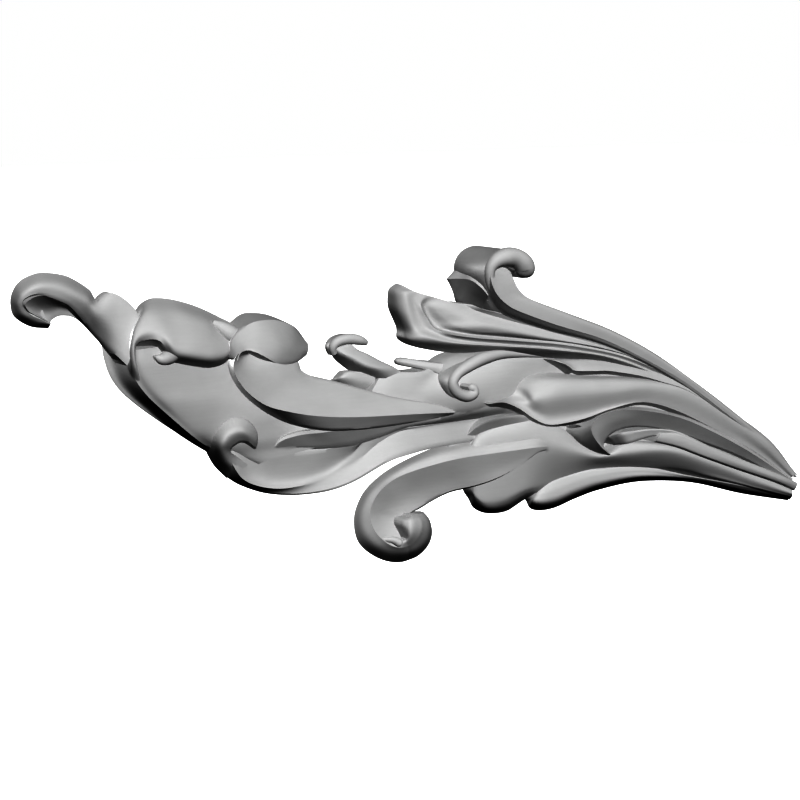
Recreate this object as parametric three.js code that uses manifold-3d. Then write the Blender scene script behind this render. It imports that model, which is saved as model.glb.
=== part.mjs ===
// Carved acanthus onlay: one spray of leaves with rolled scroll ends on a flat back.
// Millimetres. X runs along the onlay, Z is up, and the carved face looks along -Y.
// The flat back lies in the plane y = 0, with the origin on it.
import * as THREE from "three";
import { mergeVertices } from "three/addons/utils/BufferGeometryUtils.js";
import Module from "manifold-3d";

// Driving sizes
const onlayLength = 405; // from the left curl to the cut stems
const onlayDepth = 27; // from the back to the top of the crest's roll
const backAllowance = 2; // each leaf runs this far behind the back before the back is planed flat
const rimWaist = 0.9; // half width of a rim's foot, as a share of the rim's radius
const rimUndercut = 40; // degrees that a rim's round goes on below its widest place

// How finely the solid is faceted
const sectionsPerRow = 2;
const stepsPerKnot = 2; // between two knots of a row
const stepsPerFlute = 1; // the same in a row of five knots or more
const rimSteps = 6;
const facetTolerance = 0.06; // facets that lie flatter together than this are made one

// How the camera of the photograph stood, in degrees and millimetres
const sight = { turn: -35, lift: 9, distance: 920, aim: [0, -10, 0], lens: 100, sensor: 36, picture: 800 };

// The leaves were read off the photograph. A leaf's rows run from its root to its tip, and a row
// crosses the leaf from its near edge to its far edge, three numbers to a knot: how far across and
// down the picture it shows, and its height over the back. sharp names the knots that stay a crease.
// round holds, for the near and the far edge, how wide the edge is rounded and how far it drops.
const leaves = {
  hookLeaf: {
    round: [0.6, 0.6, 0.5, 0.5],
    sharp: [],
    rows: [
      [128, 366, 12, 136, 340, 11.5, 141, 317, 9],
      [121, 359, 9.5, 128, 335, 9.5, 134, 307, 7.5],
      [112, 351, 6, 117, 326, 8, 122, 297, 6],
      [103, 343, 2.5, 107, 318, 7.5, 111, 293, 4.5],
      [93, 333, 1.5, 98, 313, 7.5, 102, 296.5, 3],
      [87, 325, 3, 92, 307, 7.5, 97, 300, 2],
      [79, 315, 6, 87, 300, 8, 91, 291, 0],
      [70, 306, 8, 76, 293, 8.5, 80, 283, 0],
      [56, 299.5, 9, 61, 286, 8.5, 66, 276, 0],
      [42, 295.5, 9, 44, 284, 8.5, 46, 273, 0],
      [33.5, 296.5, 8.7, 32.5, 286.5, 8, 33.5, 274.8, 0],
      [27.5, 299, 8.1, 24, 292, 7, 20, 282, 0],
      [24.5, 302, 7.5, 19.5, 298, 6, 13, 293, 0],
      [25, 307.5, 6.5, 18.5, 306.5, 5, 11.5, 305, 0],
      [33, 315.5, 5.5, 24.5, 316, 4.5, 15.5, 317, 0],
      [44, 320, 4.5, 37, 322.5, 3.5, 31, 326.5, 0],
      [52, 323.5, 3.5, 51, 325, 3, 49, 328.5, 0],
    ],
  },
  hookScoop: {
    round: [0.5, 0, 0.5, 0],
    sharp: [],
    rows: [
      [103, 343, 0, 103.5, 342, 0.5, 104, 341, 1],
      [93, 334, 0, 92, 331, 0.5, 91, 328, 1.5],
      [82, 323, 0, 83, 319, 0.5, 83.5, 317, 3],
      [72.5, 317, 0, 73, 311, 1, 73.5, 307, 5.5],
      [61, 316, 0, 60, 307, 1.5, 59, 300, 7.2],
      [53.5, 319.5, 0, 50, 309, 1.5, 43, 296, 7.8],
      [51.5, 322, 0.5, 42, 311, 1.5, 32, 299, 6.8],
      [51.5, 323.5, 1.5, 40, 315, 2, 26, 305, 5.8],
      [52, 324, 2.5, 44, 319.5, 3, 30, 312, 5],
    ],
  },
  bud: {
    round: [0.8, 1.5, 1, 1],
    sharp: [],
    rows: [
      [143, 384, 9, 140, 383, 9.5, 136.5, 382, 9, 133, 381, 8],
      [138.5, 369, 12.3, 135.5, 368, 12.8, 132, 367, 11.5, 129, 366, 8.5],
      [136.5, 356, 13, 133.5, 354, 13.8, 130, 351, 12, 128, 349, 8],
      [137, 347, 12.5, 135, 342, 14, 132.5, 335, 12, 131, 330, 6],
      [143, 342.5, 13.5, 141, 334, 14.5, 138, 323, 11, 137.5, 317, 4],
      [152, 341, 15, 150, 330, 15, 146, 314, 10, 143, 305, 2],
      [160, 343, 17, 160, 331, 16, 156, 312, 10, 152, 298.5, 0],
      [166, 351.5, 16, 170, 341, 18.5, 171, 315, 10.5, 168, 299, 0],
      [172, 361.5, 14, 178, 349, 19.5, 184, 318, 11.5, 182, 302, 0],
      [184, 364.5, 13, 190, 353, 20, 197, 322, 12, 195, 306, 0],
      [197, 367, 12, 202, 355.5, 19.5, 208, 326, 12, 208, 311.5, 0],
      [211, 368.5, 11, 214, 357, 18.5, 219, 332, 11.5, 221, 318, 0],
      [224, 364.5, 10.5, 226, 355, 16, 229, 338, 11, 231, 323, 0],
      [233, 354, 10, 234.5, 348, 12.5, 236, 338, 9, 238, 330, 2],
    ],
  },
  longLeaf: {
    round: [1, 1, 1, 1],
    sharp: [2],
    rows: [
      [102, 340, 0, 113, 345, 2.5, 130, 351.5, 8.5, 150, 348, 12, 236, 338, 6],
      [104, 356, 0, 114, 359.5, 2.2, 131, 366, 9, 152, 361, 12.5, 232, 352, 8],
      [110, 375, 0, 121, 378, 2.2, 137, 382, 9.5, 158, 376, 12.5, 232, 366, 9],
      [121, 391, 0, 132.5, 393.5, 2, 149, 397.5, 10, 168, 390, 12.5, 243, 381, 9],
      [137, 405, 0, 147.5, 407, 2, 163, 410.5, 10, 180, 402, 12.5, 258, 395, 9],
      [155, 418, 0, 163.5, 420.5, 2, 179, 424.5, 10, 195, 416, 11.5, 272, 405, 9.5],
      [173, 430, 0, 180, 433, 2, 194, 437, 9, 208, 428, 10.5, 286, 414, 10],
      [191, 442, 0, 197, 444.5, 2, 207, 446, 6, 222, 437, 9.5, 300, 423, 10],
      [210, 453, 0, 215, 453, 3, 222, 452, 5, 238, 445, 9, 320, 430, 10],
      [226, 460, 0, 231, 459, 3, 237, 458, 4.5, 254, 452, 8, 345, 436, 10],
      [242, 467, 0, 248, 466.5, 3, 255, 466, 4.5, 273, 459, 8, 372, 432, 10],
    ],
  },
  stemLeaf: {
    round: [0.6, 0.8, 1, 1],
    sharp: [1],
    rows: [
      [211, 456, 0, 226, 452, 8, 240, 448, 7, 250, 442, 7],
      [220, 470, 0, 233, 465, 9, 246, 459, 6.5, 262, 442, 7.5],
      [234, 481, 1, 242, 478, 9, 255, 472, 6, 275, 446, 8],
      [249, 488, 2, 257, 485.5, 8.5, 273, 478, 6, 290, 447, 7.5],
      [266, 493, 3.5, 278, 488.5, 8, 295, 477, 6, 305, 447, 7.5],
      [287, 495, 5.5, 299, 486, 7.5, 315, 472, 6, 322, 446, 8],
      [310, 494, 7.5, 320, 480, 7, 336, 463, 6, 340, 444, 8.5],
      [333, 490, 9, 340, 470, 6.8, 352, 453, 6.5, 358, 443, 9],
      [356, 481, 10.5, 358, 460, 6.8, 362, 443, 7, 370, 438, 9],
      [389, 462, 11.5, 378, 443, 6.8, 381, 432, 8, 388, 430, 9],
      [412, 454, 11.5, 400, 431, 7.5, 402, 429, 8, 405, 427, 8.5],
      [435, 448, 10, 425, 428, 7.5, 427, 426, 7.5, 430, 424, 8],
      [470, 442, 7.5, 460, 423, 6.5, 462, 421, 6.5, 465, 420, 6.5],
      [500, 436, 5, 492, 419, 5.5, 493, 418, 5.5, 495, 417, 5.5],
    ],
  },
  stemHead: {
    round: [1, 1, 0.8, 1.5],
    sharp: [],
    rows: [
      [228, 478, 1, 239, 471, 7, 250, 464, 6],
      [216, 466, 1, 227, 461.5, 9.5, 240, 457, 8],
      [209, 452, 2, 221, 451, 12.5, 233, 453, 10.5],
      [209, 440, 6, 222, 443, 15, 233, 449, 12],
      [215, 430, 9, 227, 436, 16, 238, 445, 13],
      [225, 421, 10.5, 235, 431, 16.5, 242, 443, 13.5],
      [237, 417, 11, 243.5, 430.5, 16.5, 247.5, 443.5, 13],
      [249, 420.5, 11.5, 250.5, 434, 15, 252, 446, 12],
      [257, 429.5, 11, 256, 440, 12.5, 254, 448, 10.5],
      [258, 440, 10.5, 257, 445, 10.5, 255.5, 449.5, 9.5],
    ],
  },
  blade: {
    round: [0.5, 0.5, 1, 1],
    sharp: [],
    rows: [
      [271, 448.7, 8.5, 272, 448, 8.5],
      [290, 449, 8.3, 283, 438, 11.5],
      [318, 449, 8.8, 300, 432, 12.8],
      [348, 446.5, 9.5, 318, 430, 14],
      [364, 442.5, 10, 345, 426, 14.5],
      [384, 436, 11, 372, 422, 14.5],
      [405, 428, 11.5, 400, 418, 14],
      [440, 421, 12, 440, 412, 13],
    ],
  },
  waveLeaf: {
    round: [0.8, 1.5, 1, 1],
    sharp: [1],
    rows: [
      [453, 414.5, 10, 453.5, 412.7, 13, 454, 411.7, 13, 455, 410.5, 12.5],
      [430, 420, 13, 425, 413.5, 16, 428, 408, 14.5, 436, 404, 13],
      [395, 426, 14.5, 388, 415.5, 18, 392, 406, 15, 398, 398, 13],
      [362, 430, 15.5, 352, 417, 19, 358, 402, 15.5, 364, 389, 13],
      [328, 431, 16, 318, 416, 20, 328, 398, 16, 335, 381, 13],
      [298, 426, 14.5, 290, 412, 21, 304, 393, 16, 314, 376.5, 13.5],
      [272, 415.5, 11.5, 266, 405.5, 21.5, 286, 386, 16, 303, 371, 14],
      [253, 403.5, 9, 248, 393, 22, 274, 377, 16, 300, 364, 14],
      [239, 390, 8, 237, 379, 22, 262, 367, 15.5, 296, 356, 14],
      [231, 376, 8, 233, 366, 21.5, 252, 359, 14, 290, 350, 13.5],
      [228, 364, 8, 236, 356, 20.5, 250, 354, 13, 280, 345, 13],
      [229, 353, 8, 244, 350, 19.5, 255, 351, 13, 270, 342, 13],
    ],
  },
  waveHead: {
    round: [0.4, 0.5, 1, 1],
    sharp: [2],
    rows: [
      [238, 361, 20, 234.5, 359, 18.5, 229.5, 355, 15, 221.5, 351.5, 6],
      [241, 353.5, 21, 236.5, 350, 18.5, 230.5, 343, 14.5, 223, 338, 4],
      [247.5, 350.5, 23, 243, 342, 19, 236.5, 333, 14.5, 229.5, 323.5, 0],
      [255.5, 352.5, 24.5, 254, 338.5, 19.8, 248, 324.5, 14.5, 241, 314.5, 0],
      [265, 357, 25, 266, 340, 20.2, 259.5, 320.7, 14.3, 252, 313, 0],
      [275, 362.5, 24, 279, 342, 19.5, 276, 320.3, 12, 266, 314.5, 0],
      [286, 364.5, 20.5, 291, 345, 17, 292, 326, 9.5, 281, 320, 0],
      [297, 362, 15.5, 301, 350, 13, 302, 337, 7, 296, 328, 0],
      [306, 356, 9, 308, 350, 8, 308, 344, 5, 305, 340, 1],
    ],
  },
  smallHook: {
    round: [0.5, 0.5, 0.5, 0.5],
    sharp: [],
    rows: [
      [376, 384.5, 2, 387, 377.5, 8.5, 401, 371.5, 8],
      [368, 381, 2, 379, 371, 10, 393, 366.5, 8.5],
      [357, 375, 1.5, 367, 366.5, 10, 380, 360.5, 7.5],
      [345, 367.5, 0.5, 354.5, 360, 8.5, 368, 354, 6.5],
      [334, 358.5, 0, 343.5, 354, 7, 358, 349.5, 5.5],
      [329, 349, 0, 336, 348, 4.5, 351, 343, 4.2],
    ],
  },
  crestLeaf: {
    round: [0.4, 0.4, 1.2, 1.5],
    sharp: [2],
    rows: [
      [788, 474, 5, 790, 474, 7.5, 793, 474.5, 8.5, 795, 474.5, 8.5, 797, 475, 7],
      [757, 444, 8, 759, 442.5, 12, 761, 441.5, 13, 764, 440.5, 13, 767, 440.5, 11],
      [716, 415, 10, 720, 413.5, 15.5, 723, 412, 17, 725, 408.5, 17, 727, 406.5, 15],
      [676, 386.5, 11, 680, 384.5, 17.5, 684, 382.5, 19, 687, 378, 19, 690, 379, 16.5],
      [636, 364, 12, 640, 361, 19, 643, 359, 20.5, 647, 352, 20.5, 652, 352, 18],
      [592, 345.5, 13, 597, 342.5, 20, 601, 339, 22, 606, 331, 22, 611, 330, 19.5],
      [546, 333, 14, 551, 330, 20.5, 555, 325, 23.5, 562, 315, 23, 570, 314, 21],
      [509, 320, 13, 512, 317, 20.5, 518, 311.5, 24.5, 527, 302, 23.5, 540, 303, 22],
      [494, 312, 12, 498, 309, 20, 504, 303.5, 25, 513, 296, 23.5, 527, 297, 22.5],
      [486, 302, 11, 489.5, 299, 19.5, 495, 294, 25, 504, 288, 23.5, 519, 289, 22.5],
      [480, 291, 12, 484.5, 288, 19, 490.5, 284, 24.5, 499, 280, 23, 515, 281, 22],
      [478.5, 280, 14, 483, 278, 19, 489, 274, 23.5, 497, 272, 22, 512, 273, 20.5],
      [480, 268, 15, 486, 266, 20, 491, 266, 22, 499, 267, 19.5, 509, 269, 18],
    ],
  },
  crestCusp: {
    round: [0.3, 0.3, 0.3, 0.3],
    sharp: [1],
    rows: [
      [449, 283.5, 0, 447, 279.3, 0.5, 452, 273, 0],
      [453, 293, 0, 459, 279, 6, 465, 262, 3],
      [457, 302, 1, 470, 280.5, 12.5, 474, 262, 7],
      [468, 309, 4, 480, 288, 18, 484, 268, 13],
      [480, 312, 8, 487, 296, 19.5, 490, 280, 16],
    ],
  },
  fanLeaf: {
    round: [0.5, 0.5, 0.5, 0.5],
    sharp: [4, 8],
    rows: [
      [
        787, 474, 4, 788.5, 474.3, 7, 789.5, 474, 9, 790, 474, 8.8, 791, 474, 9.1, 792, 474.5,
        9, 793, 475, 9.2, 794, 476, 9.2, 795, 477, 9, 796, 476, 9,
      ],
      [
        716, 418, 6, 719, 418.3, 10, 722, 417, 13, 724, 417, 12.7, 727, 417, 13.2, 730, 417,
        12.8, 733, 419, 13.3, 737, 421, 13.4, 740, 424, 13, 743, 422, 13.4,
      ],
      [
        655, 386, 7, 662, 385, 12.5, 668, 382, 16.4, 672, 382, 15.6, 676, 381.5, 16.4, 680, 382,
        15.8, 685, 384, 16.8, 692, 388, 17, 697, 391, 16.2, 701, 389, 17,
      ],
      [
        590, 363.5, 7, 600, 362, 14, 611, 358.7, 18.5, 619, 358.5, 17.8, 627, 358, 18.5, 633,
        358, 17.8, 640, 360, 19, 650, 364, 19.3, 657, 367, 18.3, 662, 365, 19,
      ],
      [
        522, 357, 7, 533, 355.5, 13.5, 549, 350, 18.8, 561, 348.5, 18, 571, 346, 19, 580, 345,
        18.2, 592, 346.5, 19.8, 606, 349, 20.2, 617, 351, 19, 623, 348, 20,
      ],
      [
        457, 353.5, 5, 472, 352, 13, 497, 346.5, 18.2, 511, 344.5, 17.3, 522, 341.5, 18.8, 531,
        339.5, 17.5, 545, 340, 19.5, 566, 341, 20.3, 585, 341, 19, 592, 338, 20,
      ],
      [
        418, 347.5, 2, 432, 347, 12, 452, 343.5, 17.2, 467, 341, 16.3, 480, 338.5, 18, 490, 336,
        16, 508, 335, 18.5, 533, 335, 20, 554, 333, 18.5, 562, 330, 20,
      ],
      [
        397.5, 339, 0, 410, 340.5, 10.5, 426, 337.5, 15.5, 441, 336, 15, 452, 335, 17, 462,
        333.5, 14.5, 482, 332, 17.5, 510, 330, 19.5, 533, 327, 18, 541, 324, 19.5,
      ],
      [
        396, 327, 0, 405, 330, 7.2, 413.5, 328.5, 11.5, 425, 328.5, 11.8, 434, 328.5, 13.6, 440,
        328.5, 11, 462, 328, 16, 487, 325, 18.5, 512, 321.5, 17, 520, 318, 19,
      ],
      [
        388.5, 309, 0, 399, 312.5, 7, 408.5, 314, 10.5, 418, 317, 10.5, 427, 319, 12.2, 431,
        320, 9.6, 449, 321, 13.6, 470, 319, 16.3, 492, 316, 15.5, 500, 313, 17.5,
      ],
      [
        387.5, 298, 0, 397, 301.5, 6.5, 406, 302, 9.8, 414, 306, 9.8, 421.5, 309.5, 11.3, 426,
        311, 9.2, 439, 313, 12, 457, 312.5, 14.5, 475, 310.5, 14, 482, 309, 16,
      ],
      [
        389, 289, 0, 397, 291.5, 5.6, 405.5, 293, 9, 413, 298.5, 9.5, 420.5, 302.5, 10.4, 425,
        304, 9.3, 436, 306, 11.4, 453, 306.5, 13.4, 466, 306, 13.2, 474, 305.5, 14.5,
      ],
      [
        396, 283.5, 0, 403, 286, 4.6, 412, 290.7, 8.4, 419, 293.2, 9.2, 426, 295.3, 9.9, 432,
        297, 10.3, 441, 299.5, 11, 452, 302.5, 12.2, 463, 304, 12.8, 471, 304.5, 13.5,
      ],
    ],
  },
  slipLeaf: {
    round: [0.3, 0.3, 0.5, 0.5],
    sharp: [1],
    rows: [
      [788, 474, 5, 789, 473, 7.5, 790, 472, 7, 792, 471, 6],
      [704, 405, 10, 705, 401, 17, 708, 398, 16, 712, 395, 13.5],
      [653, 384.5, 10, 655, 380, 19, 658, 375, 17.5, 662, 371, 14.5],
      [612, 375.5, 10, 613, 371.5, 20, 617, 367, 18, 622, 362, 14.5],
      [592, 375, 10, 593, 371, 20.3, 592, 366, 18.5, 590, 359.5, 15],
      [577, 375, 10, 577, 371, 20, 573, 366.5, 18.7, 566, 360, 15.5],
      [571, 373, 10, 570, 370, 19.5, 564, 365, 18.8, 552, 360, 16],
      [566, 377, 7, 563, 373, 9, 556, 367.5, 9.5, 543, 359.5, 10.5],
    ],
  },
  broadLeaf: {
    round: [0.4, 0.5, 0.4, 0.5],
    sharp: [1],
    rows: [
      [
        788, 480, 6, 789, 478, 8.5, 790, 477, 8.3, 792, 476, 9, 794, 474.5, 8.7, 795, 474, 7,
      ],
      [
        752, 455, 9, 754, 452, 12, 757, 449, 12.3, 762, 445, 13.5, 766, 441, 13, 768, 439, 10,
      ],
      [
        712, 432, 11, 713, 429, 15, 716, 425, 15.5, 720, 415.5, 16.5, 723, 410, 15.3, 724, 407,
        11,
      ],
      [
        672, 413, 12, 674, 410, 17.5, 678, 406, 17.8, 683, 396, 18.5, 688, 390, 17, 690, 387,
        11.5,
      ],
      [
        640, 405, 13, 641, 402, 19, 643, 399, 19.2, 647, 388, 20, 651, 381.5, 18, 652, 378,
        11.5,
      ],
      [
        610, 412, 14, 609, 409, 20, 609, 405, 19.6, 611, 391, 21, 614, 380, 18.5, 615, 376, 12,
      ],
      [
        588, 420.5, 14, 586, 417.5, 20.3, 584, 411, 19.6, 582, 393, 21.5, 580, 380.5, 18.8, 581,
        375.5, 12,
      ],
      [
        568, 425, 14, 566, 422.5, 20, 563, 414, 19.4, 559, 395, 21.5, 556, 380, 18.5, 553, 373,
        10.5,
      ],
      [
        549, 426.5, 13, 547, 424.5, 19.3, 547, 416, 18.7, 544, 397, 20.5, 537, 382, 16, 528,
        375, 9,
      ],
      [
        534, 422, 12, 532, 418, 18.5, 534, 412, 17.6, 533, 399, 19, 526, 388, 14.5, 516, 382,
        8.5,
      ],
      [
        519, 413, 11, 518, 408.5, 17.5, 522, 406, 16.3, 525, 401, 16, 519, 395, 12, 510, 390,
        8.5,
      ],
      [
        503, 408, 10, 503, 402.5, 16.5, 505, 401, 14.5, 508, 399, 12.5, 508, 398, 11.5, 507,
        396, 9.5,
      ],
      [
        489, 407, 10, 488, 404, 15, 489, 403, 14, 490, 402, 12, 490, 401.5, 11, 490, 401, 9,
      ],
    ],
  },
  curlLeaf: {
    round: [0.5, 0.5, 0.5, 0.5],
    sharp: [2],
    rows: [
      [789, 484, 7, 790, 482, 7.5, 791, 480, 8, 792, 478, 7],
      [745, 459, 13, 746, 455, 14.5, 747, 451, 16, 748, 448, 12],
      [704, 443, 14, 706, 436, 16.5, 708, 430, 18.5, 710, 427, 14],
      [672, 432, 15, 675, 425, 17.5, 678, 417.5, 20, 680, 415, 15],
      [645, 427, 16, 646, 419, 18.5, 647, 411, 21, 648, 408.5, 16],
      [625, 428, 16.5, 622, 419, 19.5, 619, 410, 21.5, 614, 409, 16],
      [612, 433, 16.5, 607, 424, 19.5, 602, 414, 21.5, 592, 417, 14],
      [605, 440, 16.5, 598, 433, 19.5, 591, 424, 21, 577, 430, 13],
      [603, 447, 15.5, 598, 442, 18.5, 591, 434, 20, 579, 441, 13],
      [608, 452, 14, 605, 451, 16.5, 600, 447, 18, 591, 450, 13],
      [611, 455, 12.5, 610, 455, 14, 609, 454.5, 15, 605, 456, 12],
    ],
  },
  foldTip: {
    round: [0.5, 0.5, 0.5, 0.5],
    sharp: [],
    rows: [
      [788, 487, 8, 790, 483, 8.5],
      [745, 470, 11.5, 747, 464, 12],
      [705, 452, 14, 707, 445, 15],
      [675, 439, 15.5, 675, 431, 17],
      [655, 436, 17, 650, 429, 18],
      [640, 439.5, 17.5, 635, 430.5, 18.5],
      [627, 443.5, 18, 621, 432.5, 19],
      [614, 445, 13, 607, 437, 13.5],
    ],
  },
  lowerLeaf: {
    round: [0.5, 0.5, 1, 1],
    sharp: [],
    rows: [
      [789, 499, 2, 790, 497, 7, 791, 495.5, 8.5, 791, 493, 9.5, 791, 489, 8],
      [752, 492, 3, 753, 488, 9, 752, 485, 10.5, 751, 479, 12, 752, 472, 11],
      [712, 483, 4, 712, 478, 10, 711, 473, 12, 709, 463, 14.5, 710, 455, 13],
      [672, 476, 2, 672, 471, 7, 670, 466, 11, 667, 452, 16, 668, 445, 15],
      [630, 477, 1.5, 630, 472, 5.5, 628, 466, 9, 626, 454, 14.5, 627, 443, 13.5],
      [597, 482, 1, 596, 474.5, 5.5, 595, 467, 8.5, 598, 457, 13.5, 604, 452, 11.5],
      [572, 489, 1, 570, 482, 5, 569, 473, 8.5, 574, 452, 13.5, 582, 443, 10.5],
      [552, 497, 0.5, 550, 489, 5, 549, 478, 8.5, 550, 446, 13.8, 562, 428, 10.5],
      [530, 497, 3, 528, 491, 9, 526, 480, 11, 522, 437, 13, 530, 412, 9],
      [508, 510, 0, 505, 503, 7.5, 501, 488, 9.5, 494, 437, 10.5, 499, 418, 5],
      [488, 513, 0, 487, 506, 7, 481, 490, 8.5, 478, 440, 9, 481, 427, 1],
      [474, 508, 0, 476, 500, 6.5, 474, 488, 7.5, 470, 448, 7.5, 474, 433, 0],
      [468, 498, 0, 470, 492, 5, 470, 483, 6, 468, 455, 5.5, 470, 441, 0],
    ],
  },
  lowerLobe: {
    round: [0.5, 0.5, 0.5, 0.5],
    sharp: [],
    rows: [
      [787, 500, 0, 788, 498, 4, 789, 496, 6, 790, 494, 7],
      [740, 493, 0, 740, 490, 6, 741, 487, 8.5, 742, 485, 9.5],
      [690, 482, 0, 690, 479.5, 7, 691, 477.5, 9, 692, 476, 9.5],
      [640, 481, 0, 640, 477, 8.5, 641, 471.5, 9.3, 642, 466, 8.8],
      [600, 489, 0, 600, 484, 8.5, 601, 476, 9.5, 603, 468, 8.5],
      [575, 498, 0, 576, 492, 8.5, 578, 482, 9.5, 580, 471, 8.3],
      [555, 507, 0, 556, 500.5, 8.3, 558, 490, 9.3, 560, 477, 8],
      [540, 510, 0, 542, 503.5, 7.8, 545, 494.5, 8.8, 548, 482, 7.5],
      [530, 508, 0, 533, 502, 6.5, 537, 495, 7.5, 541, 487, 7],
      [526, 501, 0, 530, 498, 4.5, 533, 494, 5.5, 536, 490, 6],
    ],
  },
  dropLeaf: {
    round: [0.3, 0.3, 0.6, 1],
    sharp: [2],
    rows: [
      [556, 434, 9, 557, 440, 10, 558, 446, 10.5, 558, 448, 10, 557, 451, 9],
      [537, 431, 10, 537, 440, 14, 538, 447, 15.5, 539, 450, 15, 539, 452, 14.5],
      [515, 431, 6, 515, 441, 12.5, 515, 450, 15, 518, 459, 14, 520, 466, 13.5],
      [490, 434, 2, 490, 444, 10, 490, 453.5, 13.5, 494, 468, 12, 497, 479, 11.5],
      [462, 439, 0, 462, 448, 8, 463, 457.5, 12, 469, 475, 10, 474, 487, 9],
      [435, 447, 0, 436, 454.5, 7, 439, 463, 10, 446, 480, 7.5, 452, 492, 6.5],
      [407, 459, 0, 409, 465, 6, 414, 470.5, 8.5, 425, 487, 6, 435, 500, 5],
      [383, 473, 0, 388, 477, 5, 396, 478, 7.5, 410, 495, 5, 422, 508, 4.5],
      [365, 490, 0, 371.5, 491.5, 4.5, 381, 489.5, 7.5, 398, 502, 5, 413, 513, 4.5],
      [356, 508, 0, 363, 508, 4, 372, 504, 7, 390, 509, 5, 410, 518, 4.5],
      [354, 524, 0, 361.5, 522.5, 4, 370, 517.5, 7, 386, 517, 5, 409, 523, 4.5],
      [358, 541, 0, 366, 536, 5, 374.5, 530.5, 8, 386, 526.5, 6, 407, 527, 5],
      [370, 553, 0, 376, 546.5, 6, 382.5, 539.5, 9, 391, 533, 7, 405, 530, 6],
      [386, 560.5, 0, 389, 553, 6, 391.5, 545.5, 9.5, 395, 539.5, 8.5, 401, 535, 7],
      [402, 561.5, 0, 402, 554, 7, 402, 547, 10.5, 402, 542, 11, 403, 538, 9.5],
      [417, 556, 0, 414.5, 550.5, 7.5, 411, 544, 11, 408, 539, 12.5, 405, 536, 11],
      [428, 545, 0, 424.5, 541.5, 8, 418, 536, 12.5, 410, 532.5, 14, 404, 530, 11.5],
      [432, 532, 0, 428.5, 530, 8, 421, 527.5, 12.8, 411, 525.5, 14, 402.5, 524.5, 11.5],
      [430, 520, 1, 427, 520, 7, 420.5, 519.5, 11.5, 411, 519, 12.8, 403, 519, 10.5],
      [424, 512, 3, 420.5, 513.5, 6.5, 416, 514.5, 9, 411, 515, 10, 407, 516.5, 8.5],
    ],
  },
  backLeaf: {
    round: [0.5, 0.5, 0.5, 0.5],
    sharp: [],
    rows: [
      [790, 490, 5, 791, 487, 6, 792, 484, 6, 793, 481, 6],
      [700, 452, 7, 703, 440, 9, 705, 425, 9, 712, 408, 9],
      [620, 430, 8, 621, 415, 10.5, 622, 400, 11, 626, 372, 12],
      [560, 426, 7, 560, 412, 8.5, 562, 398, 9, 566, 360, 9.5],
      [525, 421, 5.5, 524, 409, 8.5, 528, 392, 9, 540, 354, 10.5],
      [498, 416, 5, 495, 404, 10.5, 500, 385, 11.3, 512, 352, 12.5],
      [470, 420, 6, 466, 408, 11.5, 468, 385, 12, 488, 351, 13],
      [440, 426, 6, 436, 411, 11, 436, 390, 11.5, 460, 352, 11],
      [415, 428, 6, 411, 413, 10.5, 412, 395, 11, 424, 371, 9.5],
      [388, 420, 6, 388, 408, 9.5, 390, 392, 10, 398, 372.5, 8.5],
      [366, 405, 5, 368, 399, 8, 372, 390, 8.5, 379, 378, 7],
    ],
  },
  lipHollow: {
    round: [0.3, 0.3, 0.3, 0.3],
    sharp: [],
    rows: [
      [563, 430, 2, 570, 428, 8, 578, 425, 14],
      [572, 438, 2, 578, 434, 8, 586, 430, 14],
      [580, 445, 2, 585, 441, 8, 589, 437, 14],
      [591, 450.5, 2, 594, 448, 8, 597, 446, 14],
      [604, 454.5, 2, 605, 453.5, 7, 606, 452, 12],
    ],
  },
  sliver: {
    round: [0.5, 1, 0.5, 1],
    sharp: [],
    rows: [
      [446, 376, 10, 449, 370, 10.5, 452, 364, 10],
      [423, 370, 7.5, 424, 366, 8, 426, 361.5, 7.5],
      [405, 366.5, 3.6, 405, 362.5, 4.2, 407, 358.5, 3.6],
      [397.5, 364.3, 1.6, 397.5, 361.3, 2, 399, 358.3, 1.6],
      [394.8, 362, 0.6, 395, 360.5, 0.8, 395.6, 359, 0.6],
    ],
  },
  stemFlute: {
    round: [1, 1.5, 1, 1],
    sharp: [],
    rows: [
      [793, 490.5, 8, 795, 486.5, 9, 796.5, 482.5, 9],
      [777, 483, 12, 778, 478.5, 13, 779, 474, 12],
      [737, 469.5, 15, 738.5, 464, 16, 740, 458.5, 15],
      [705, 458, 17, 706, 451.5, 17.5, 707, 445, 17],
      [677, 447.5, 17.5, 679, 441, 18, 681, 434, 17.5],
      [654, 442, 18, 656.5, 437, 18.5, 659, 432.5, 18],
    ],
  },
  stemPlate: {
    round: [0.3, 0.3, 0.3, 0.3],
    sharp: [],
    rows: [
      [500, 432, 4, 500, 424, 4.5, 500, 412, 4.5],
      [430, 432, 4.5, 430, 426, 5, 430, 418, 5],
      [380, 440, 5, 378, 434, 5.5, 378, 424, 5],
      [280, 462, 3, 276, 455, 3.5, 276, 442, 3],
    ],
  },
  hookBase: {
    round: [0.5, 0.5, 0.5, 0.5],
    sharp: [],
    rows: [
      [372, 393, 4, 374, 384, 6, 376, 375, 6],
      [355, 389, 3.5, 358, 381, 5.5, 361, 372, 5.5],
      [343, 385, 2.5, 343, 378, 5, 347, 372, 4.5],
      [335, 382, 1, 336, 378.5, 2.5, 339, 374.5, 2],
      [331.5, 381, 0.5, 332, 380, 1, 333, 379, 0.5],
    ],
  },
  stemLens: {
    round: [0.3, 0.3, 0.3, 0.3],
    sharp: [],
    rows: [
      [552, 434, 7, 549, 428, 8, 546, 420, 8],
      [530, 434, 7, 526, 425, 10, 522, 415, 12],
      [500, 438, 5.5, 497, 428, 8.8, 495, 418, 12],
      [480, 441, 4.5, 477, 433, 7.5, 478, 425, 10],
      [466, 443, 3.5, 464.5, 440, 5.5, 465, 436, 6.8],
    ],
  },
  waveGulf: {
    round: [0.3, 0.3, 0.3, 0.3],
    sharp: [],
    rows: [
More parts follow.
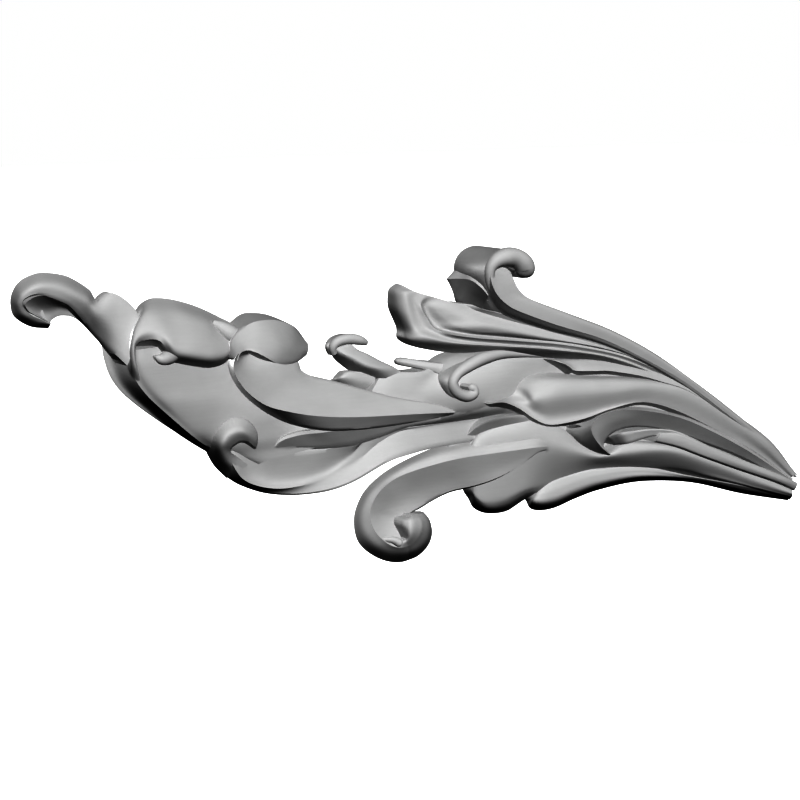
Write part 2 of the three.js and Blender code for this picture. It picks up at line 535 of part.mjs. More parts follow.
      [512, 414, 5, 510, 406, 10.5, 508, 397, 13],
      [490, 417, 5, 488, 410, 11, 487, 399, 13],
      [470, 420, 5, 468, 413, 11, 467, 402, 13],
      [452, 423.5, 5.5, 450, 417, 10.5, 449, 408, 13],
      [430, 426.5, 6, 428, 421.5, 10, 427, 414, 12.5],
      [405, 428.5, 7, 404, 426, 9, 404, 421, 11],
    ],
  },
  dropPlate: {
    round: [0.3, 0.3, 0.3, 0.3],
    sharp: [],
    rows: [
      [504, 452, 4, 502, 442, 4, 500, 430, 4],
      [480, 450, 4, 479, 442, 4, 478, 431, 4],
      [447, 450, 3.5, 449, 443, 3.5, 452, 434, 3.5],
    ],
  },
  underPlate: {
    round: [0.3, 0.3, 0.3, 0.3],
    sharp: [],
    rows: [
      [760, 482, 4, 760, 474, 4.5, 760, 464, 4],
      [700, 474, 5, 700, 455, 5.5, 700, 434, 5],
      [650, 470, 5, 650, 450, 5.5, 650, 424, 5],
      [600, 468, 5, 600, 450, 5.5, 600, 424, 5],
      [560, 460, 5, 560, 445, 5.5, 560, 416, 5],
      [530, 456, 5, 530, 440, 5, 530, 414, 5],
    ],
  },
  hookPlate: {
    round: [0.3, 0.3, 0.3, 0.3],
    sharp: [],
    rows: [
      [51, 323, 1.5, 47, 318, 1.5, 43, 309, 1.5],
      [35, 324, 1.5, 31, 318, 1.5, 28, 307, 1.5],
      [19, 312, 1.5, 16, 305, 1.5, 17, 291, 1.5],
    ],
  },
  budPlate: {
    round: [0.3, 0.3, 0.3, 0.3],
    sharp: [],
    rows: [
      [128, 350, 2, 131, 344, 6, 134, 337, 10],
      [150, 351, 2, 151, 344.5, 8, 152, 338, 13.5],
      [166, 356, 2, 167, 350, 8, 169, 343, 14],
    ],
  },
  crestPlate: {
    round: [0.3, 0.3, 0.3, 0.3],
    sharp: [],
    rows: [
      [466, 306, 4, 466, 299, 4, 468, 290, 4],
      [488, 313, 5, 488, 304, 5, 490, 292, 5],
      [512, 320, 6, 512, 310, 6, 514, 298, 6],
    ],
  },
};

// A rim's route runs to its rolled tip: across and down the picture, height of its middle, radius
const rims = {
  budTip: [
    [178, 346, 16.5, 2.6], [174, 352, 15.5, 3], [168, 357, 14.5, 3], [161, 359, 14, 2.1],
    [155, 356.5, 14, 0.6],
  ],
  budFold: [
    [212, 322, 8.5, 1], [220, 327, 9.5, 2.6], [228, 333, 10, 3.6], [235, 338, 9.5, 3.4],
    [239, 344, 8.5, 2],
  ],
  crestScroll: [
    [495, 300, 20, 1], [490, 288, 21, 1.8], [488, 277, 21.5, 2.2], [489, 268, 21.8, 2.5],
    [494.5, 261, 22, 3.2], [503, 257.5, 22, 3.9], [512, 258, 21.5, 4.2], [519.5, 262.5, 21.5, 4.5],
    [522.5, 269, 21, 4.7], [520, 278, 20.5, 4.7],
  ],
  crestLip: [
    [493, 270, 20, 0.8], [498, 264.5, 20.5, 1.5], [505, 263, 20.5, 2], [511, 266.5, 20, 2.3],
    [513, 272, 19, 1.8],
  ],
  tendril: [
    [562, 356, 9, 0.6], [540, 355.5, 12, 0.9], [520, 354.5, 14, 1.3], [500, 354.5, 16, 2],
    [482, 358.5, 17, 2.7], [467, 366, 17.5, 2.6], [456, 374, 17.5, 2.3], [451.5, 383, 17.5, 2.3],
    [456, 392, 17.5, 2.4], [465, 396, 17.5, 2.4], [472, 393.5, 17.5, 2.3], [472, 388.5, 17.5, 2],
    [467, 387, 17.5, 1.5],
  ],
  hookLip: [
    [334, 354, 3, 1.4], [332.8, 347, 3.5, 1.9], [337.8, 341.5, 4, 2.1], [348, 339, 4.5, 2.2],
    [359, 340.3, 5, 2], [367.5, 343.3, 5, 1],
  ],
  dropTip: [
    [378, 539.5, 7.5, 0.5], [386, 539, 8.5, 1], [394, 540, 9.5, 1.6], [401, 544, 10.5, 2],
  ],
};

const { sqrt, sin, cos, hypot, min, max, PI } = Math;
const radians = (degrees) => (degrees * PI) / 180;

// The camera's own directions, and how long its lens is in pixels
const [turn, lift] = [radians(sight.turn), radians(sight.lift)];
const aim = new THREE.Vector3(...sight.aim);
const towards = new THREE.Vector3(-sin(turn) * cos(lift), cos(turn) * cos(lift), -sin(lift));
const rightwards = towards.clone().cross(new THREE.Vector3(0, 0, 1)).normalize();
const upwards = rightwards.clone().cross(towards);
const eye = aim.clone().addScaledVector(towards, -sight.distance);
const lensPixels = (sight.lens / sight.sensor) * sight.picture;

// Where a picture point lies on the onlay, at a height over the back: x, z and that height
function onBoard(across, down, height) {
  const ray = towards.clone();
  ray.addScaledVector(rightwards, (across - sight.picture / 2) / lensPixels);
  ray.addScaledVector(upwards, (sight.picture / 2 - down) / lensPixels);
  const reach = (-height - eye.y) / ray.y;
  return [eye.x + ray.x * reach, eye.z + ray.z * reach, height];
}

// A row's knots, each as x, z and height
function knotsOf(row) {
  return Array.from({ length: row.length / 3 }, (_, k) => onBoard(...row.slice(3 * k, 3 * k + 3)));
}

const leafKnots = Object.values(leaves).map(({ rows }) => rows.map(knotsOf));
const rimKnots = Object.values(rims).map((route) => route.map((knot) => [...onBoard(...knot), knot[3]]));
const allKnots = leafKnots.flat(2);
const drawnSides = [min(...allKnots.map(([x]) => x)), max(...allKnots.map(([x]) => x))];
const drawnTop = max(...rimKnots.flat().map(([, , height, radius]) => height + radius));
const alongScale = onlayLength / (drawnSides[1] - drawnSides[0]);
const depthScale = onlayDepth / drawnTop;

// Smooth curve through points, at point number t
function between(points, t) {
  const i = min(Math.floor(t), points.length - 2);
  const f = t - i;
  const at = (k, c) => {
    if (k < 0) return 2 * points[0][c] - points[1][c];
    if (k >= points.length) return 2 * points.at(-1)[c] - points.at(-2)[c];
    return points[k][c];
  };
  return points[i].map((_, c) => {
    const [a, b, d, e] = [at(i - 1, c), at(i, c), at(i + 1, c), at(i + 2, c)];
    const bend = 2 * a - 5 * b + 4 * d - e;
    return 0.5 * (2 * b + (d - a) * f + bend * f * f + (3 * b - a - 3 * d + e) * f ** 3);
  });
}

// Points along a smooth curve, the same number for each stretch between two knots
function alongCurve(knots, steps) {
  const count = (knots.length - 1) * steps;
  return Array.from({ length: count + 1 }, (_, k) => between(knots, k / steps));
}

// The rows of a leaf and the rows between them
function filledRows(rows) {
  const perKnot = rows[0].map((_, knot) => alongCurve(rows.map((row) => row[knot]), sectionsPerRow));
  return perKnot[0].map((_, k) => perKnot.map((line) => line[k]));
}

// A row's smooth cross section, with a crease at each sharp knot
function acrossLeaf(knots, sharp) {
  const steps = knots.length > 4 ? stepsPerFlute : stepsPerKnot;
  const cuts = [0, ...sharp, knots.length - 1];
  const stretches = cuts.slice(1).map((cut, k) => alongCurve(knots.slice(cuts[k], cut + 1), steps));
  return stretches.flatMap((stretch, k) => (k ? stretch.slice(1) : stretch));
}

// How far a rounded edge lies below its leaf, at a distance in from the edge
function edgeDrop(inside, width, drop) {
  const share = max(0, 1 - inside / width);
  return drop * (1 - sqrt(1 - share * share));
}

// One section of a leaf: foot, carved top from the near edge to the far edge, foot
function leafSection(knots, { round, sharp }) {
  const [nearWide, nearDrop, farWide, farDrop] = round;
  const line = acrossLeaf(knots, sharp);
  const walked = [0];
  for (let k = 1; k < line.length; k += 1) {
    walked.push(walked[k - 1] + hypot(line[k][0] - line[k - 1][0], line[k][1] - line[k - 1][1]));
  }
  const width = walked.at(-1);
  const [nearLimit, farLimit] = [knots[0][2], knots.at(-1)[2]].map((height) => height * 0.9);
  const top = line.map(([x, z, height], k) => {
    const nearFall = edgeDrop(walked[k], min(nearWide, width / 2), min(nearDrop, nearLimit));
    const farFall = edgeDrop(width - walked[k], min(farWide, width / 2), min(farDrop, farLimit));
    return [x, z, max(height - nearFall - farFall, -1)];
  });
  const foot = ([x, z]) => [x, z, -backAllowance];
  return [foot(top[0]), ...top, foot(top.at(-1))];
}

// Sections of a rim: a round bar along its route, standing on a foot
function rimSections(route) {
  const rows = alongCurve(route, sectionsPerRow);
  const tipDistance = rows.map(() => 0);
  for (let k = rows.length - 2; k >= 0; k -= 1) {
    tipDistance[k] = tipDistance[k + 1] + hypot(rows[k + 1][0] - rows[k][0], rows[k + 1][1] - rows[k][1]);
  }
  return rows.map(([x, z, height, fullRadius], k) => {
    const before = rows[max(k - 1, 0)];
    const after = rows[min(k + 1, rows.length - 1)];
    const run = hypot(after[0] - before[0], after[1] - before[1]);
    const side = [-(after[1] - before[1]) / run, (after[0] - before[0]) / run];
    const near = min(1, tipDistance[k] / fullRadius);
    const radius = fullRadius * max(0.3, sqrt(1 - (1 - near) ** 2));
    const place = (across, up) => [x + side[0] * across * radius, z + side[1] * across * radius, up];
    const round = Array.from({ length: rimSteps + 1 }, (_, j) => {
      const angle = radians(-rimUndercut + ((180 + 2 * rimUndercut) * j) / rimSteps);
      return place(-cos(angle), height + radius * sin(angle));
    });
    return [place(-rimWaist, -backAllowance), ...round, place(rimWaist, -backAllowance)];
  });
}

const wasm = await Module();
wasm.setup();

// A closed solid from a geometry whose faces point outwards
function asSolid(geometry) {
  geometry.deleteAttribute("normal");
  geometry.deleteAttribute("uv");
  const merged = mergeVertices(geometry, 1e-4);
  return new wasm.Manifold(new wasm.Mesh({
    numProp: 3,
    vertProperties: new Float32Array(merged.attributes.position.array),
    triVerts: new Uint32Array(merged.index.array),
  }));
}

// A closed solid skinned over sections with the same number of points
function skinned(sections) {
  const ring = sections[0].length;
  const points = sections.flat().map(([x, z, h]) => [x * alongScale, -h * depthScale, z * alongScale]);
  const faces = [];
  for (let i = 0; i + 1 < sections.length; i += 1) {
    for (let j = 0; j < ring; j += 1) {
      const next = (j + 1) % ring;
      const [a, b, c, d] = [i * ring + j, i * ring + next, (i + 1) * ring + next, (i + 1) * ring + j];
      faces.push([a, b, c], [a, c, d]);
    }
  }
  const end = (sections.length - 1) * ring;
  for (let j = 1; j + 1 < ring; j += 1) faces.push([0, j + 1, j], [end, end + j, end + j + 1]);
  const corner = (k) => new THREE.Vector3(...points[k]);
  const outward = signedVolume(faces, corner) > 0 ? faces : faces.map(([a, b, c]) => [a, c, b]);
  const geometry = new THREE.BufferGeometry();
  geometry.setAttribute("position", new THREE.Float32BufferAttribute(points.flat(), 3));
  geometry.setIndex(outward.flat());
  return asSolid(geometry);
}

// Everything joined, then planed flat behind
function carveOnlay() {
  const styles = Object.values(leaves);
  const sectionsOf = (rows, style) => filledRows(rows).map((knots) => leafSection(knots, style));
  const leafSections = leafKnots.map((rows, k) => sectionsOf(rows, styles[k]));
  const solids = [...leafSections, ...rimKnots.map(rimSections)].map(skinned);
  const joined = solids.reduce((whole, solid) => whole.add(solid));
  const planer = new THREE.BoxGeometry(3 * onlayLength, onlayDepth, 3 * onlayLength);
  planer.translate(0, onlayDepth / 2, 0);
  return joined.subtract(asSolid(planer)).simplify(facetTolerance);
}

// The faces of each shell of a mesh, a shell being faces that share corners
function shells(triVerts, cornerCount) {
  const parent = Array.from({ length: cornerCount }, (_, k) => k);
  const rootOf = (k) => {
    while (parent[k] !== k) {
      parent[k] = parent[parent[k]];
      k = parent[k];
    }
    return k;
  };
  for (let f = 0; f < triVerts.length; f += 3) {
    parent[rootOf(triVerts[f])] = rootOf(triVerts[f + 1]);
    parent[rootOf(triVerts[f + 1])] = rootOf(triVerts[f + 2]);
  }
  const groups = new Map();
  for (let f = 0; f < triVerts.length; f += 3) {
    const root = rootOf(triVerts[f]);
    if (!groups.has(root)) groups.set(root, []);
    groups.get(root).push([triVerts[f], triVerts[f + 1], triVerts[f + 2]]);
  }
  return [...groups.values()];
}

// Six times the volume inside some faces: negative for a shell that faces inwards
function signedVolume(faces, corner) {
  return faces.reduce((sum, [a, b, c]) => sum + corner(a).dot(corner(b).cross(corner(c))), 0);
}

// The solid's geometry, solid right through where crossing leaves shut in a small pocket
function asGeometry(solid) {
  const mesh = solid.getMesh();
  const positions = new THREE.Float32BufferAttribute(mesh.vertProperties, 3);
  const corner = (k) => new THREE.Vector3().fromBufferAttribute(positions, k);
  const outer = shells(mesh.triVerts, positions.count).filter((faces) => signedVolume(faces, corner) > 0);
  const geometry = new THREE.BufferGeometry();
  geometry.setAttribute("position", positions);
  geometry.setIndex(outer.flat(2));
  geometry.computeVertexNormals();
  return geometry;
}

const primedWood = new THREE.MeshStandardMaterial({ color: 0x9f9f9f, roughness: 0.6, metalness: 0 });

const onlay = new THREE.Group();
const carvedOnlay = new THREE.Mesh(asGeometry(carveOnlay()), primedWood);
carvedOnlay.name = "carved_onlay";
onlay.add(carvedOnlay);

export default onlay;
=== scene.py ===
import math

import bmesh
import bpy
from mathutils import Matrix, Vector


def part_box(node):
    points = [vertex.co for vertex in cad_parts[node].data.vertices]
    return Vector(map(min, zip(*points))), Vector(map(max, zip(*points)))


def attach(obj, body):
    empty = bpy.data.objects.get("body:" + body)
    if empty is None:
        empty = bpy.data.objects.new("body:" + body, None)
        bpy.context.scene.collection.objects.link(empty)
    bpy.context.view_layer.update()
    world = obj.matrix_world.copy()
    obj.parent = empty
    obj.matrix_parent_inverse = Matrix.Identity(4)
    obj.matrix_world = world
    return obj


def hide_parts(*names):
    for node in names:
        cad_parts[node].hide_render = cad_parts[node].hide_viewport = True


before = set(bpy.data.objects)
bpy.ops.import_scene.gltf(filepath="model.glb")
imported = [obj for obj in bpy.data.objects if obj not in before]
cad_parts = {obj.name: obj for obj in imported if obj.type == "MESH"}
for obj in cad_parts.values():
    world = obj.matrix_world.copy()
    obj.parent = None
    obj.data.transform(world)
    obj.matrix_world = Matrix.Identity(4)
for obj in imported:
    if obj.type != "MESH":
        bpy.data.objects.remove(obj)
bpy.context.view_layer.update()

mm = 0.001

carving = {
    "backAllowance": 2.0,  # mm that a leaf runs behind the back before it is planed
    "lowestFace": -1.0,  # mm over the back, the least that a leaf's face is kept at
    "edgeShare": 0.9,  # of an edge's height, the most that its rounding takes
    "stepsPerRow": 6,  # sections along a leaf, for each row
    "stepsPerKnot": 7,  # steps across a leaf, for each knot
    "rimStepsAround": 22,
    "rimUndercut": 40.0,  # degrees that a rim's round goes on below its widest place
    "rimTipShare": 0.08,  # of its radius, the thinnest that a rim's tip gets
    "mergeWithin": 0.005,  # mm
    "shortestEdge": 0.004,  # mm
    "creaseAngle": 38.0,
    "planerCell": 5.0,  # mm between the lines of the planer's face
    "planerThick": 8.0,
}

# how the camera of the photograph stood, in degrees and mm
sight = {
    "turn": -35.0,
    "lift": 9.0,
    "distance": 920.0,
    "aim": (0.0, -10.0, 0.0),
    "lens": 100.0,
    "sensor": 36.0,
    "picture": 800,  # pixels across
}

# a leaf's rows run from root to tip, and a row crosses it from the near edge to the far edge
# three numbers to a knot: how far across and down the picture it shows, and its height in mm
# sharp: the knots that stay a crease
# round: how wide the near edge is rounded and how far it drops, then the same for the far edge
leaves = {
    "hookLeaf": {
        "round": (0.6, 0.6, 0.5, 0.5),
        "sharp": (),
        "rows": [
            (128, 366, 12, 136, 340, 11.5, 141, 317, 9),
            (121, 359, 9.5, 128, 335, 9.5, 134, 307, 7.5),
            (112, 351, 6, 117, 326, 8, 122, 297, 6),
            (103, 343, 2.5, 107, 318, 7.5, 111, 293, 4.5),
            (93, 333, 1.5, 98, 313, 7.5, 102, 296.5, 3),
            (87, 325, 3, 92, 307, 7.5, 97, 300, 2),
            (79, 315, 6, 87, 300, 8, 91, 291, 0),
            (70, 306, 8, 76, 293, 8.5, 80, 283, 0),
            (56, 299.5, 9, 61, 286, 8.5, 66, 276, 0),
            (42, 295.5, 9, 44, 284, 8.5, 46, 273, 0),
            (33.5, 296.5, 8.7, 32.5, 286.5, 8, 33.5, 274.8, 0),
            (27.5, 299, 8.1, 24, 292, 7, 20, 282, 0),
            (24.5, 302, 7.5, 19.5, 298, 6, 13, 293, 0),
            (25, 307.5, 6.5, 18.5, 306.5, 5, 11.5, 305, 0),
            (33, 315.5, 5.5, 24.5, 316, 4.5, 15.5, 317, 0),
            (44, 320, 4.5, 37, 322.5, 3.5, 31, 326.5, 0),
            (52, 323.5, 3.5, 51, 325, 3, 49, 328.5, 0),
        ],
    },
    "hookScoop": {
        "round": (0.5, 0, 0.5, 0),
        "sharp": (),
        "rows": [
            (103, 343, 0, 103.5, 342, 0.5, 104, 341, 1),
            (93, 334, 0, 92, 331, 0.5, 91, 328, 1.5),
            (82, 323, 0, 83, 319, 0.5, 83.5, 317, 3),
            (72.5, 317, 0, 73, 311, 1, 73.5, 307, 5.5),
            (61, 316, 0, 60, 307, 1.5, 59, 300, 7.2),
            (53.5, 319.5, 0, 50, 309, 1.5, 43, 296, 7.8),
            (51.5, 322, 0.5, 42, 311, 1.5, 32, 299, 6.8),
            (51.5, 323.5, 1.5, 40, 315, 2, 26, 305, 5.8),
            (52, 324, 2.5, 44, 319.5, 3, 30, 312, 5),
        ],
    },
    "bud": {
        "round": (0.8, 1.5, 1, 1),
        "sharp": (),
        "rows": [
            (143, 384, 9, 140, 383, 9.5, 136.5, 382, 9, 133, 381, 8),
            (138.5, 369, 12.3, 135.5, 368, 12.8, 132, 367, 11.5, 129, 366, 8.5),
            (136.5, 356, 13, 133.5, 354, 13.8, 130, 351, 12, 128, 349, 8),
            (137, 347, 12.5, 135, 342, 14, 132.5, 335, 12, 131, 330, 6),
            (143, 342.5, 13.5, 141, 334, 14.5, 138, 323, 11, 137.5, 317, 4),
            (152, 341, 15, 150, 330, 15, 146, 314, 10, 143, 305, 2),
            (160, 343, 17, 160, 331, 16, 156, 312, 10, 152, 298.5, 0),
            (166, 351.5, 16, 170, 341, 18.5, 171, 315, 10.5, 168, 299, 0),
            (172, 361.5, 14, 178, 349, 19.5, 184, 318, 11.5, 182, 302, 0),
            (184, 364.5, 13, 190, 353, 20, 197, 322, 12, 195, 306, 0),
            (197, 367, 12, 202, 355.5, 19.5, 208, 326, 12, 208, 311.5, 0),
            (211, 368.5, 11, 214, 357, 18.5, 219, 332, 11.5, 221, 318, 0),
            (224, 364.5, 10.5, 226, 355, 16, 229, 338, 11, 231, 323, 0),
            (233, 354, 10, 234.5, 348, 12.5, 236, 338, 9, 238, 330, 2),
        ],
    },
    "longLeaf": {
        "round": (1, 1, 1, 1),
        "sharp": (2,),
        "rows": [
            (102, 340, 0, 113, 345, 2.5, 130, 351.5, 8.5, 150, 348, 12, 236, 338, 6),
            (104, 356, 0, 114, 359.5, 2.2, 131, 366, 9, 152, 361, 12.5, 232, 352, 8),
            (110, 375, 0, 121, 378, 2.2, 137, 382, 9.5, 158, 376, 12.5, 232, 366, 9),
            (121, 391, 0, 132.5, 393.5, 2, 149, 397.5, 10, 168, 390, 12.5, 243, 381, 9),
            (137, 405, 0, 147.5, 407, 2, 163, 410.5, 10, 180, 402, 12.5, 258, 395, 9),
            (155, 418, 0, 163.5, 420.5, 2, 179, 424.5, 10, 195, 416, 11.5, 272, 405, 9.5),
            (173, 430, 0, 180, 433, 2, 194, 437, 9, 208, 428, 10.5, 286, 414, 10),
            (191, 442, 0, 197, 444.5, 2, 207, 446, 6, 222, 437, 9.5, 300, 423, 10),
            (210, 453, 0, 215, 453, 3, 222, 452, 5, 238, 445, 9, 320, 430, 10),
            (226, 460, 0, 231, 459, 3, 237, 458, 4.5, 254, 452, 8, 345, 436, 10),
            (242, 467, 0, 248, 466.5, 3, 255, 466, 4.5, 273, 459, 8, 372, 432, 10),
        ],
    },
    "stemLeaf": {
        "round": (0.6, 0.8, 1, 1),
        "sharp": (1,),
        "rows": [
            (211, 456, 0, 226, 452, 8, 240, 448, 7, 250, 442, 7),
            (220, 470, 0, 233, 465, 9, 246, 459, 6.5, 262, 442, 7.5),
            (234, 481, 1, 242, 478, 9, 255, 472, 6, 275, 446, 8),
            (249, 488, 2, 257, 485.5, 8.5, 273, 478, 6, 290, 447, 7.5),
            (266, 493, 3.5, 278, 488.5, 8, 295, 477, 6, 305, 447, 7.5),
            (287, 495, 5.5, 299, 486, 7.5, 315, 472, 6, 322, 446, 8),
            (310, 494, 7.5, 320, 480, 7, 336, 463, 6, 340, 444, 8.5),
            (333, 490, 9, 340, 470, 6.8, 352, 453, 6.5, 358, 443, 9),
            (356, 481, 10.5, 358, 460, 6.8, 362, 443, 7, 370, 438, 9),
            (389, 462, 11.5, 378, 443, 6.8, 381, 432, 8, 388, 430, 9),
            (412, 454, 11.5, 400, 431, 7.5, 402, 429, 8, 405, 427, 8.5),
            (435, 448, 10, 425, 428, 7.5, 427, 426, 7.5, 430, 424, 8),
            (470, 442, 7.5, 460, 423, 6.5, 462, 421, 6.5, 465, 420, 6.5),
            (500, 436, 5, 492, 419, 5.5, 493, 418, 5.5, 495, 417, 5.5),
        ],
    },
    "stemHead": {
        "round": (1, 1, 0.8, 1.5),
        "sharp": (),
        "rows": [
            (228, 478, 1, 239, 471, 7, 250, 464, 6),
            (216, 466, 1, 227, 461.5, 9.5, 240, 457, 8),
            (209, 452, 2, 221, 451, 12.5, 233, 453, 10.5),
            (209, 440, 6, 222, 443, 15, 233, 449, 12),
            (215, 430, 9, 227, 436, 16, 238, 445, 13),
            (225, 421, 10.5, 235, 431, 16.5, 242, 443, 13.5),
            (237, 417, 11, 243.5, 430.5, 16.5, 247.5, 443.5, 13),
            (249, 420.5, 11.5, 250.5, 434, 15, 252, 446, 12),
            (257, 429.5, 11, 256, 440, 12.5, 254, 448, 10.5),
            (258, 440, 10.5, 257, 445, 10.5, 255.5, 449.5, 9.5),
        ],
    },
    "blade": {
        "round": (0.5, 0.5, 1, 1),
        "sharp": (),
        "rows": [
            (271, 448.7, 8.5, 272, 448, 8.5),
            (290, 449, 8.3, 283, 438, 11.5),
            (318, 449, 8.8, 300, 432, 12.8),
            (348, 446.5, 9.5, 318, 430, 14),
            (364, 442.5, 10, 345, 426, 14.5),
            (384, 436, 11, 372, 422, 14.5),
            (405, 428, 11.5, 400, 418, 14),
            (440, 421, 12, 440, 412, 13),
        ],
    },
    "waveLeaf": {
        "round": (0.8, 1.5, 1, 1),
        "sharp": (1,),
        "rows": [
            (453, 414.5, 10, 453.5, 412.7, 13, 454, 411.7, 13, 455, 410.5, 12.5),
            (430, 420, 13, 425, 413.5, 16, 428, 408, 14.5, 436, 404, 13),
            (395, 426, 14.5, 388, 415.5, 18, 392, 406, 15, 398, 398, 13),
            (362, 430, 15.5, 352, 417, 19, 358, 402, 15.5, 364, 389, 13),
            (328, 431, 16, 318, 416, 20, 328, 398, 16, 335, 381, 13),
            (298, 426, 14.5, 290, 412, 21, 304, 393, 16, 314, 376.5, 13.5),
            (272, 415.5, 11.5, 266, 405.5, 21.5, 286, 386, 16, 303, 371, 14),
            (253, 403.5, 9, 248, 393, 22, 274, 377, 16, 300, 364, 14),
            (239, 390, 8, 237, 379, 22, 262, 367, 15.5, 296, 356, 14),
            (231, 376, 8, 233, 366, 21.5, 252, 359, 14, 290, 350, 13.5),
            (228, 364, 8, 236, 356, 20.5, 250, 354, 13, 280, 345, 13),
            (229, 353, 8, 244, 350, 19.5, 255, 351, 13, 270, 342, 13),
        ],
    },
    "waveHead": {
        "round": (0.4, 0.5, 1, 1),
        "sharp": (2,),
        "rows": [
            (238, 361, 20, 234.5, 359, 18.5, 229.5, 355, 15, 221.5, 351.5, 6),
            (241, 353.5, 21, 236.5, 350, 18.5, 230.5, 343, 14.5, 223, 338, 4),
            (247.5, 350.5, 23, 243, 342, 19, 236.5, 333, 14.5, 229.5, 323.5, 0),
            (255.5, 352.5, 24.5, 254, 338.5, 19.8, 248, 324.5, 14.5, 241, 314.5, 0),
            (265, 357, 25, 266, 340, 20.2, 259.5, 320.7, 14.3, 252, 313, 0),
            (275, 362.5, 24, 279, 342, 19.5, 276, 320.3, 12, 266, 314.5, 0),
            (286, 364.5, 20.5, 291, 345, 17, 292, 326, 9.5, 281, 320, 0),
            (297, 362, 15.5, 301, 350, 13, 302, 337, 7, 296, 328, 0),
            (306, 356, 9, 308, 350, 8, 308, 344, 5, 305, 340, 1),
        ],
    },
    "smallHook": {
        "round": (0.5, 0.5, 0.5, 0.5),
        "sharp": (),
        "rows": [
            (376, 384.5, 2, 387, 377.5, 8.5, 401, 371.5, 8),
            (368, 381, 2, 379, 371, 10, 393, 366.5, 8.5),
            (357, 375, 1.5, 367, 366.5, 10, 380, 360.5, 7.5),
            (345, 367.5, 0.5, 354.5, 360, 8.5, 368, 354, 6.5),
            (334, 358.5, 0, 343.5, 354, 7, 358, 349.5, 5.5),
            (329, 349, 0, 336, 348, 4.5, 351, 343, 4.2),
        ],
    },
    "crestLeaf": {
        "round": (0.4, 0.4, 1.2, 1.5),
        "sharp": (2,),
        "rows": [
            (788, 474, 5, 790, 474, 7.5, 793, 474.5, 8.5, 795, 474.5, 8.5, 797, 475, 7),
            (757, 444, 8, 759, 442.5, 12, 761, 441.5, 13, 764, 440.5, 13, 767, 440.5, 11),
            (716, 415, 10, 720, 413.5, 15.5, 723, 412, 17, 725, 408.5, 17, 727, 406.5, 15),
            (676, 386.5, 11, 680, 384.5, 17.5, 684, 382.5, 19, 687, 378, 19, 690, 379, 16.5),
            (636, 364, 12, 640, 361, 19, 643, 359, 20.5, 647, 352, 20.5, 652, 352, 18),
            (592, 345.5, 13, 597, 342.5, 20, 601, 339, 22, 606, 331, 22, 611, 330, 19.5),
            (546, 333, 14, 551, 330, 20.5, 555, 325, 23.5, 562, 315, 23, 570, 314, 21),
            (509, 320, 13, 512, 317, 20.5, 518, 311.5, 24.5, 527, 302, 23.5, 540, 303, 22),
            (494, 312, 12, 498, 309, 20, 504, 303.5, 25, 513, 296, 23.5, 527, 297, 22.5),
            (486, 302, 11, 489.5, 299, 19.5, 495, 294, 25, 504, 288, 23.5, 519, 289, 22.5),
            (480, 291, 12, 484.5, 288, 19, 490.5, 284, 24.5, 499, 280, 23, 515, 281, 22),
            (478.5, 280, 14, 483, 278, 19, 489, 274, 23.5, 497, 272, 22, 512, 273, 20.5),
            (480, 268, 15, 486, 266, 20, 491, 266, 22, 499, 267, 19.5, 509, 269, 18),
        ],
    },
    "crestCusp": {
        "round": (0.3, 0.3, 0.3, 0.3),
        "sharp": (1,),
        "rows": [
            (449, 283.5, 0, 447, 279.3, 0.5, 452, 273, 0),
            (453, 293, 0, 459, 279, 6, 465, 262, 3),
            (457, 302, 1, 470, 280.5, 12.5, 474, 262, 7),
            (468, 309, 4, 480, 288, 18, 484, 268, 13),
            (480, 312, 8, 487, 296, 19.5, 490, 280, 16),
        ],
    },
    "fanLeaf": {
        "round": (0.5, 0.5, 0.5, 0.5),
        "sharp": (4, 8),
        "rows": [
            (
                787, 474, 4, 788.5, 474.3, 7, 789.5, 474, 9, 790, 474, 8.8, 791, 474, 9.1,
                792, 474.5, 9, 793, 475, 9.2, 794, 476, 9.2, 795, 477, 9, 796, 476, 9,
            ),
            (
                716, 418, 6, 719, 418.3, 10, 722, 417, 13, 724, 417, 12.7, 727, 417, 13.2,
                730, 417, 12.8, 733, 419, 13.3, 737, 421, 13.4, 740, 424, 13, 743, 422, 13.4,
            ),
            (
                655, 386, 7, 662, 385, 12.5, 668, 382, 16.4, 672, 382, 15.6, 676, 381.5, 16.4,
                680, 382, 15.8, 685, 384, 16.8, 692, 388, 17, 697, 391, 16.2, 701, 389, 17,
            ),
            (
                590, 363.5, 7, 600, 362, 14, 611, 358.7, 18.5, 619, 358.5, 17.8, 627, 358, 18.5,
                633, 358, 17.8, 640, 360, 19, 650, 364, 19.3, 657, 367, 18.3, 662, 365, 19,
            ),
            (
                522, 357, 7, 533, 355.5, 13.5, 549, 350, 18.8, 561, 348.5, 18, 571, 346, 19,
                580, 345, 18.2, 592, 346.5, 19.8, 606, 349, 20.2, 617, 351, 19, 623, 348, 20,
            ),
            (
                457, 353.5, 5, 472, 352, 13, 497, 346.5, 18.2, 511, 344.5, 17.3, 522, 341.5, 18.8,
                531, 339.5, 17.5, 545, 340, 19.5, 566, 341, 20.3, 585, 341, 19, 592, 338, 20,
            ),
            (
                418, 347.5, 2, 432, 347, 12, 452, 343.5, 17.2, 467, 341, 16.3, 480, 338.5, 18,
                490, 336, 16, 508, 335, 18.5, 533, 335, 20, 554, 333, 18.5, 562, 330, 20,
            ),
            (
                397.5, 339, 0, 410, 340.5, 10.5, 426, 337.5, 15.5, 441, 336, 15, 452, 335, 17,
                462, 333.5, 14.5, 482, 332, 17.5, 510, 330, 19.5, 533, 327, 18, 541, 324, 19.5,
            ),
            (
                396, 327, 0, 405, 330, 7.2, 413.5, 328.5, 11.5, 425, 328.5, 11.8, 434, 328.5, 13.6,
                440, 328.5, 11, 462, 328, 16, 487, 325, 18.5, 512, 321.5, 17, 520, 318, 19,
            ),
            (
